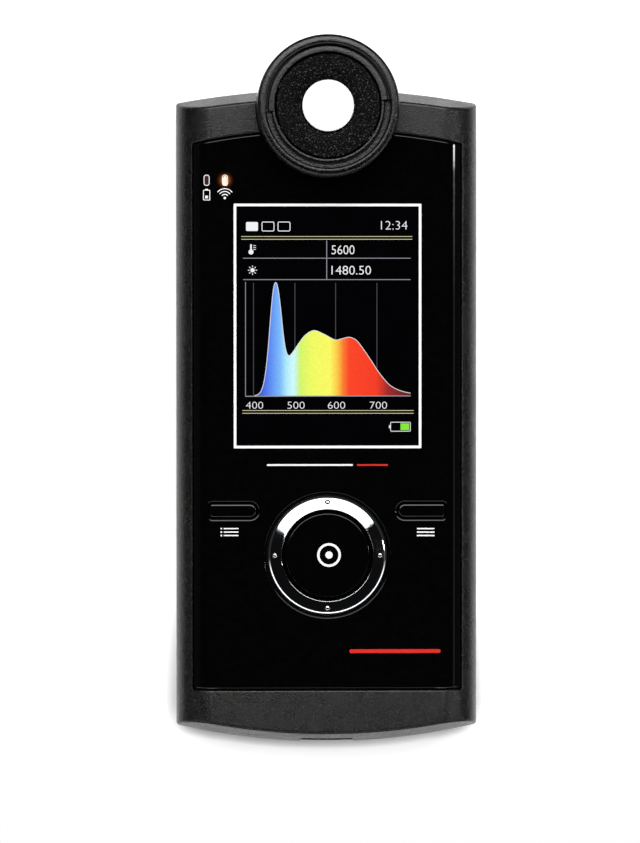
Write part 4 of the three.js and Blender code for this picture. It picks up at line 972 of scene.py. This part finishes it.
def draw_thermometer(marks):
    x, y = at(*THERMOMETER)
    marks.disc((x, y), 0.5)
    marks.bar(x - 0.17, x + 0.17, y, y + 1.55, 0.16)
    for k in range(3):
        marks.bar(x + 0.45, x + 0.95, y + 0.45 + 0.38 * k, y + 0.57 + 0.38 * k)


def draw_sun(marks):
    centre = at(*SUN)
    marks.disc(centre, 0.42)
    for near, far in zip(circle(0.6, centre, 8), circle(0.92, centre, 8)):
        marks.line([near, far], 0.15)


def make_display_marks():
    charge = span(*CHARGE)
    x0, x1, y0, y1 = charge
    white = Marks(PANEL_Z + 0.012)
    white.numerals("12:34", span(*CLOCK), 0.016)
    white.numerals("5600", span(*TEMPERATURE), 0.008)
    white.numerals("1480.50", span(*BRIGHTNESS), 0.008)
    for text, u in AXIS_NUMBERS:
        white.numerals(text, span(u - AXIS_HALF, u + AXIS_HALF, AXIS_TOP, AXIS_BOTTOM), 0.016)
    # Three tabs, the first one filled.
    white.bar(*span(*TAB), 0.25)
    for k in (1, 2):
        u0, u1, v0, v1 = TAB
        white.frame(span(u0 + TAB_STEP * k, u1 + TAB_STEP * k, v0, v1), 0.25, 0.16)
    draw_thermometer(white)
    draw_sun(white)
    white.frame(charge, 0.15, 0.12)
    white.bar(x0 - 0.32, x0 - 0.08, (y0 + y1) / 2 - 0.3, (y0 + y1) / 2 + 0.3)
    white.piece("display_numerals", LIT_WHITE, "opal_plastic")

    green = Marks(PANEL_Z + 0.01)
    green.bar(x0 + (x1 - x0) * 0.5, x1 - 0.22, y0 + 0.22, y1 - 0.22)
    green.piece("display_charge", LIT_GREEN, "light_pipe")

    cream = Marks(PANEL_Z + 0.01)
    for first, u0, u1 in RULES:
        for v in (first, first + RULE_STEP):
            cream.line([at(u0, v), at(u1, v)], 0.11)
    cream.piece("display_rules", LIT_CREAM, "light_pipe")

    dim = Marks(PANEL_Z + 0.002, 0.006)
    for u in GRID_COLUMNS:
        dim.line([at(u, GRID_TOP), at(u, GRID_BOTTOM)], 0.14)
    dim.piece("display_grid", LIT_DIM, "opal_plastic")

    grey = Marks(PANEL_Z + 0.004)
    for width, start, end in TABLE_LINES:
        grey.line([at(*start), at(*end)], width)
    grey.piece("display_table", LIT_GREY, "opal_plastic")

    curve = [at(u, v) for u, v in smooth_line(CURVE)]
    base = at(*CURVE_BASE)[1]
    fill = Marks(PANEL_Z + 0.008, 0.012)
    fill.ribbon([(x, base) for x, _ in curve], [(x, max(y, base + 0.02)) for x, y in curve])
    fill.piece("display_spectrum", spectrum_material(), "light_pipe")
    line = Marks(PANEL_Z + 0.02)
    line.line(curve, 0.13)
    line.piece("display_curve", LIT_LINE, "opal_plastic")


def three_rows(box):
    """The two ends and the three rows of a sign."""
    x0, x1, y0, y1 = span(*box)
    return x0, x1, [y0 + 0.14 + (y1 - y0 - 0.28) * k / 2 for k in range(3)]


def make_panel_marks():
    white = Marks(PANEL_Z)
    for x, _ in LAMPS:
        white.band(grown(lamp_box(x), 0.25), 0.57, grown(lamp_box(x), 0.11), 0.43, 6)
    battery = span(*BATTERY_SIGN)
    x0, x1, y0, y1 = battery
    white.frame(battery, 0.12, 0.14)
    white.bar((x0 + x1) / 2 - 0.28, (x0 + x1) / 2 + 0.28, y1 + 0.05, y1 + 0.26)
    white.bar(x0 + 0.36, x1 - 0.36, y0 + 0.34, y0 + 0.86)
    dot = at(*RADIO_DOT)
    white.disc(dot, 0.24)
    for reach in RADIO_ARCHES:
        white.arch(dot, (reach + 0.42) * PIXEL, (reach - 0.42) * PIXEL, 38, 142, 20)
    x0, x1, rows = three_rows(LIST_SIGN)
    for y in rows:
        white.disc((x0 + 0.16, y), 0.17, 12)
        white.line([(x0 + 0.65, y), (x1, y)], 0.24)
    x0, x1, rows = three_rows(BARS_SIGN)
    for y in rows:
        white.line([(x0, y), (x1, y)], 0.27)
    white.bar(*span(*WHITE_STRIPE), 0.12)
    white.piece("panel_print", WHITE_INK, "opal_plastic")

    red = Marks(PANEL_Z)
    red.bar(*span(*RED_STRIPE), 0.12)
    red.bar(*span(*LOW_STRIPE), 0.3)
    red.piece("panel_print_red", RED_INK, "light_pipe")


def make_lamps():
    for (x, name), look in zip(LAMPS, (LAMP_DARK, LAMP_LIT)):
        levels = [(0, LAMP_BASE), (0, PANEL_Z - 0.12), (-0.04, PANEL_Z - 0.03), (-0.12, PANEL_Z)]
        pipe = prism(f"{name}_lamp_window", lamp_box(x), LAMP_WIDTH / 2 - 0.01, levels)
        finish(pipe, look, f"{name}_lamp_pipe")


def make_key_marks():
    mark = Marks(MEASURE_TOP)
    centre = at(*MEASURE_SIGN, MEASURE_TOP)
    mark.ring(centre, 2.35, 1.88, 72)
    mark.disc(centre, 0.72)
    mark.piece("measure_sign", WHITE_INK, "opal_plastic", body="measure_key")


# the measuring head

def rim_profile(upper, ridge):
    """The rim's cross section: upper has the broad ramp, lower the narrow lip and the open recess."""
    if upper:
        inside = [(10.45, 25.8), (10.45, ridge - 0.2), (10.5, ridge - 0.07), (10.6, ridge),
                  (10.72, ridge + 0.02), (11.2, ridge - 0.005), (11.6, ridge - 0.03), (11.76, ridge - 0.07),
                  (11.84, ridge - 0.15), (11.88, ridge - 0.3), (11.9, ridge - 0.5), (12.02, ridge - 0.5),
                  (12.06, 29.4), (12.11, 29.62), (12.22, 29.82), (12.5, 29.96)]
    else:
        inside = [(10.45, 25.8), (10.45, ridge - 0.2), (10.5, ridge - 0.06), (10.6, ridge), (10.85, ridge),
                  (10.98, ridge - 0.02), (11.03, ridge - 0.08), (11.06, ridge - 0.2), (11.12, 27.5),
                  (11.3, 27.4), (11.7, 27.4), (12.1, 27.4), (12.2, 28.9), (12.28, 29.5), (12.42, 29.82),
                  (12.55, 29.96)]
    crown = [(12.68, 30), (12.94, 29.985), (13.2, 29.94), (13.45, 29.86), (13.66, 29.74), (13.84, 29.57),
             (13.96, 29.37), (14.03, 29.13), (HEAD_R, 28.9), (HEAD_R, 26.0), (13.95, 25.8)]
    return inside + crown


def make_rim():
    """The rim's ramp and its lip each climb through half a turn."""
    rings = []
    for k in range(RIM_STEPS):
        angle = 360 / RIM_STEPS * k
        upper = RAMP_START <= angle < RAMP_START + 180
        left = 1 - ((angle - RAMP_START) % 180) / 180
        ridge = 28.45 + 0.45 * left if upper else 28.15 + 0.3 * left
        turn = math.radians(angle)
        rings.append([(*polar(r, turn, HEAD_CENTRE), z) for r, z in rim_profile(upper, ridge)])
    rim = tube("head_rim_turned", rings)
    finish(rim, HEAD, "head_rim", crease=38)


def make_disc():
    top, outer, inner, edge = 29.1, 10.18, 5.4, 0.25
    profile = [(inner, 27.6), (inner, top - 0.2), (inner + 0.06, top - 0.08), (inner + 0.2, top),
               (7.5, top), (outer - edge, top)]
    profile += bend(outer - edge, top - edge, edge, 90, 0, 7)[1:]
    profile += [(outer, 26.1), (outer - 0.2, 25.9), (inner + 0.3, 25.9)]
    disc = lathe("speckled_ring", profile, HEAD_CENTRE, 192)
    finish(disc, SPECKLED, "diffuser_ring")


def make_diffuser():
    top, radius, edge = 28.95, 5.1, 0.25
    profile = [(0, 27.75), (radius, 27.75), (radius, top - edge)]
    profile += bend(radius - edge, top - edge, edge, 0, 90, 6)[1:]
    dome = lathe("diffuser_disc", profile + [(0, top)], HEAD_CENTRE, 160)
    finish(dome, OPAL, "diffuser")


def make_head_body():
    profile = [(HEAD_INNER, 2.9), (13.85, 2.9), (HEAD_R, 3.1), (HEAD_R, 25.35), (13.9, 25.5),
               (HEAD_INNER, 25.5)]
    drum = lathe("head_drum", profile, HEAD_CENTRE, 192)
    finish(drum, HEAD, "head_body")


# the back and the lower end

def make_door():
    levels = [(-0.18, 0), (-0.05, 0.06), (0, 0.18), (0, DOOR_THICK)]
    door = prism("door_plate", (-DOOR_HALF, DOOR_HALF, -76, DOOR_TOP), 0.8, levels)
    keep(door, case_solid("bound", BACK_LEVELS + [6]))
    weld(door, block("tongues", -TONGUE_HALF, TONGUE_HALF, TONGUE_LOW, TONGUE_HIGH, TONGUE_BASE,
                     DOOR_THICK - 0.005, 0.3))
    cuts = []
    for k in range(5):
        levels = [(0.6, -0.4), (0.2, 0), (0, 0.2), (0, 0.5)]
        cuts.append(prism("grip", around(0, -61.25 + 1.8 * k, 8, 0.4), 0.38, levels, 6))
    pocket = grown(around(0, LABEL_Y, LABEL_HALF_X, LABEL_HALF_Y), 0.15)
    cuts.append(prism("pocket", pocket, 1.65, [(0.4, -0.3), (0.1, 0), (0, 0.1), (0, 0.45)]))
    arrow = ((-1.6, -53.2), (1.6, -53.2), (0, -55.4))
    cuts.append(loft("arrow", [[(x, y, z) for x, y in arrow] for z in (-0.3, 0.3)]))
    carve(door, *cuts)
    finish(door, HOUSING, "battery_door", body="battery_door")


def make_label():
    box = around(0, LABEL_Y, LABEL_HALF_X, LABEL_HALF_Y)
    label = prism("label_sheet", box, 1.5, [(-0.04, 0.125), (0, 0.16), (0, 0.375)])
    finish(label, LABEL, "rating_label", body="battery_door")


def make_insert():
    """The tripod insert, with a real thread in its bore."""
    low, floor, high = 0.15, 7.15, 8.15
    pitch, crest, levels, steps = 1.27, 2.66, 62, 96

    def thread(z, k):
        """The thread's radius at a height, at one of the steps round."""
        share = (z / pitch - k / steps) % 1
        r = TRIPOD_BORE - (TRIPOD_BORE - crest) * min(1, max(0, 1.25 - abs(share - 0.5) * 3.2))
        return max(r, crest) if z > low + 0.5 else max(r, TRIPOD_BORE - (z - low) * 0.8)

    rings = [flat_ring(TRIPOD_BORE, TRIPOD_CENTRE, floor, steps)]
    for level in range(1, levels + 1):
        z = floor + (low + 0.02 - floor) * level / levels
        rings.append([(*polar(thread(z, k), math.tau * k / steps, TRIPOD_CENTRE), z) for k in range(steps)])
    outside = ((TRIPOD_BORE + 0.12, low), (TRIPOD_R - 0.12, low), (TRIPOD_R, low + 0.12), (TRIPOD_R, high))
    rings += [flat_ring(radius, TRIPOD_CENTRE, z, steps) for radius, z in outside]
    finish(loft("threaded_insert", rings), BRASS, "tripod_insert")


def make_screw(name, centre, cap, low, high, shaft, end):
    profile = [(0, low), (cap - 0.22, low), (cap - 0.06, low + 0.07), (cap, low + 0.22), (cap, high),
               (shaft, high), (shaft, end - 0.6), (shaft * 0.4, end), (0, end)]
    screw = lathe(f"{name}_turned", profile, centre, 64)
    drive = [(0, low - 0.5), (0.78, low - 0.5), (0.78, low), (0.7, low + 0.08), (0.7, low + 0.6),
             (0, low + 0.9)]
    carve(screw, lathe("drive", drive, centre, 6))
    finish(screw, STEEL, name)


def make_screws():
    for k, centre in enumerate(CASE_SCREWS):
        make_screw(f"case_screw_{k + 1}", centre, 2, 1, 2.3, 1.05, 17)
    for k, centre in enumerate(HEAD_SCREWS):
        make_screw(f"head_screw_{k + 1}", centre, 1.7, 0.4, 1.4, 0.9, 4.6)


def make_usb():
    ends = [(0, 0), (0, 1)]
    socket = along_length("socket_can", SOCKET, 0.7, ends, SOCKET_MOUTH, SOCKET_END)
    carve(socket, along_length("room", grown(SOCKET, -0.3), 0.45, ends, SOCKET_MOUTH - 1, SOCKET_END - 0.3))
    weld(socket, block("tongue", -2.475, 2.475, SOCKET_MOUTH + 0.7, SOCKET_END - 0.15,
                       SOCKET_MIDDLE - 0.35, SOCKET_MIDDLE + 0.35, 0.15))
    weld(socket, *[block("contact", x - 0.16, x + 0.16, SOCKET_MOUTH + 0.9, SOCKET_END - 0.6,
                         SOCKET_MIDDLE - 0.4, SOCKET_MIDDLE + 0.4) for x in (-1.6, -0.8, 0, 0.8, 1.6)])
    finish(socket, PLATED, "usb_socket")


make_front_shell()
make_panel()
make_rear_shell()
make_head_body()
make_door()
make_label()
make_insert()
make_screws()
make_usb()
make_lamps()
make_display_frame()
make_display_marks()
make_panel_marks()
make_key_marks()
make_key(-1, "left_key")
make_key(1, "right_key")
make_ring()
make_measure_key()
make_rim()
make_disc()
make_diffuser()

CARRIED = {
    "inner_plastic": INNER, "circuit_board": BOARD, "chip_plastic": CHIP, "plated_metal": PLATED,
    "flex_film": FLEX, "brass": BRASS, "screw_steel": STEEL, "battery_wrap": WRAP, "label_film": LABEL,
    "rubber": RUBBER, "housing_plastic": HOUSING, "opal_plastic": OPAL, "light_pipe": WHITE_INK,
    "window_clear": GLASS, "ring_chrome": RING, "key_plastic": KEY, "panel_gloss": PANEL,
}
for part in frame["record"]["subparts"]:
    node = frame["nodes"][part["node"]]
    for holder in node.material_slots:
        holder.material = CARRIED[part["material_slot"]]


# floor, light and camera

# The sheet under the object is small, so that the sloped sides see the dark room beyond it.
FLOOR_X, FLOOR_Y, FLOOR_CORNER, FLOOR_Z = 69, 88, 4, -0.05
FLOOR_LIFT, FLOOR_MIRRORED = 0.66, 0.4
# The contact shadow reaches 4 mm, and it is deeper towards the low end of the object.
SHADOW_REACH, SHADOW_POWER, SHADOW_SPAN = 4, (4.5, 0.5), (-68, -45)

# Each pair is where an edge of a light starts and where it is full. Slopes are sideways over upward.
# The box hangs over the object towards +y. It widens with the slope along y, up to BOX_WIDEST.
BOX_NEAR, BOX_FAR, BOX_SIDE = (0.13, 0.2), (1.55, 1.35), (0.25, 0.12)
BOX_SHIFT, BOX_SPREAD, BOX_WIDEST = 0.08, 1.45, 0.95
# The fill is a low band towards -y.
FILL_TOP, FILL_FOOT, FILL_SIDE = (0.48, 0.44), (0.27, 0.31), (-0.1, -0.4)
# The strip is narrow and stands towards +x, with a faint tail towards -y.
STRIP_TOP, STRIP_FOOT, STRIP_SIDE = (0.57, 0.55), (0.49, 0.51), (0.7, 0.75)
STRIP_NEAR, STRIP_FAR = (0.0402, 0.0426), (0.16, 0.14)
TAIL_NEAR, TAIL_RISE, TAIL_LEVEL = (0.005, 0.038), 0.022, 0.006
# The room is darkest overhead.
ROOM_EDGE, ROOM_RISE, ROOM_LEVEL = (0.62, 0.5), 0.035, 0.007
BOX_LEVEL, FILL_LEVEL, STRIP_LEVEL = 4.5, 3.2, 40


def make_floor():
    outline = rounded(-FLOOR_X, FLOOR_X, -FLOOR_Y, FLOOR_Y, FLOOR_CORNER, 4)
    floor = solid("floor", [(x, y, FLOOR_Z) for x, y in outline], [tuple(range(len(outline)))])
    for vertex in floor.data.vertices:
        vertex.co *= MM
    nodes = Nodes(bpy.data.materials.new("floor_white"))
    place = nodes.place()
    colour = nodes.tint(nodes.noise(place, 0.01, 2), (0.79, 0.79, 0.79), (0.81, 0.81, 0.81))
    rays = nodes.add("LightPath").outputs
    seen = nodes.math("MAXIMUM", rays["Is Camera Ray"], rays["Is Transmission Ray"])
    seen = nodes.math("MAXIMUM", seen, nodes.times(rays["Is Glossy Ray"], FLOOR_MIRRORED))
    open_sky = nodes.add("AmbientOcclusion", {"Distance": SHADOW_REACH * MM}, samples=16).outputs["AO"]
    power = nodes.spread(nodes.axes(place)[1], *SHADOW_POWER, *SHADOW_SPAN)
    lift = nodes.times(seen, nodes.math("POWER", open_sky, power), FLOOR_LIFT)
    floor.data.materials.append(nodes.shade(Base_Color=colour, Roughness=0.9, Specular_IOR_Level=0,
                                            Emission_Color=(1, 1, 1), Emission_Strength=lift))
    floor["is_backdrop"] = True


def make_world():
    world = bpy.data.worlds.new("studio")
    bpy.context.scene.world = world
    nodes = Nodes(world)
    compute, times, smooth = nodes.math, nodes.times, nodes.smooth
    x, y, z = nodes.axes(nodes.add("TexCoord").outputs["Generated"])
    upward = compute("MAXIMUM", z, 0.001)
    along = compute("DIVIDE", y, upward)
    across = compute("DIVIDE", x, upward)
    reach = compute("SQRT", compute("MULTIPLY_ADD", along, along, times(across, across)))
    shifted = compute("ABSOLUTE", compute("ADD", across, BOX_SHIFT))
    beside = compute("SUBTRACT", shifted, compute("MINIMUM", times(along, BOX_SPREAD), BOX_WIDEST))
    box = times(smooth(along, *BOX_NEAR), smooth(reach, *BOX_FAR), smooth(beside, *BOX_SIDE))

    sideways = compute("SQRT", compute("MAXIMUM", compute("SUBTRACT", 1, times(z, z)), 0.0001))
    heading = compute("DIVIDE", y, sideways)
    fill = times(smooth(z, *FILL_TOP), smooth(z, *FILL_FOOT), smooth(heading, *FILL_SIDE))

    tail = compute("MULTIPLY_ADD", smooth(y, *TAIL_NEAR), TAIL_RISE, TAIL_LEVEL)
    length = times(compute("ADD", tail, smooth(y, *STRIP_NEAR)), smooth(y, *STRIP_FAR))
    strip = times(smooth(z, *STRIP_FOOT), smooth(z, *STRIP_TOP), smooth(x, *STRIP_SIDE), length)

    level = compute("MULTIPLY_ADD", smooth(z, *ROOM_EDGE), ROOM_RISE, ROOM_LEVEL)
    for share, strength in ((box, BOX_LEVEL), (fill, FILL_LEVEL), (strip, STRIP_LEVEL)):
        level = compute("MULTIPLY_ADD", share, strength, level)
    direct = nodes.add("LightPath").outputs["Is Camera Ray"]
    seen = nodes.add("Mix", {"Factor": direct, "A": level, "B": 1}, data_type="FLOAT").outputs["Result"]
    shader = nodes.add("Background", {"Color": (1, 1, 1), "Strength": seen})
    nodes.add("OutputWorld", {"Surface": shader.outputs[0]})


def make_camera():
    data = bpy.data.cameras.new("camera")
    data.sensor_fit = "VERTICAL"
    data.sensor_height = SENSOR
    data.lens = FOCAL_PIXELS * SENSOR / PHOTO_HEIGHT
    data.clip_start = 0.01
    data.clip_end = 20
    camera = bpy.data.objects.new("camera", data)
    camera.matrix_world = Matrix.Translation(CAMERA * MM) @ CAMERA_TURN.to_4x4()
    bpy.context.scene.collection.objects.link(camera)
    bpy.context.scene.camera = camera


make_floor()
make_world()
make_camera()
bpy.context.scene.view_settings.view_transform = "Standard"


def as_numbers(value):
    return [as_numbers(item) for item in value] if hasattr(value, "__len__") else float(value)


{"cad": as_numbers(cad_box), "visual": as_numbers(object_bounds())}
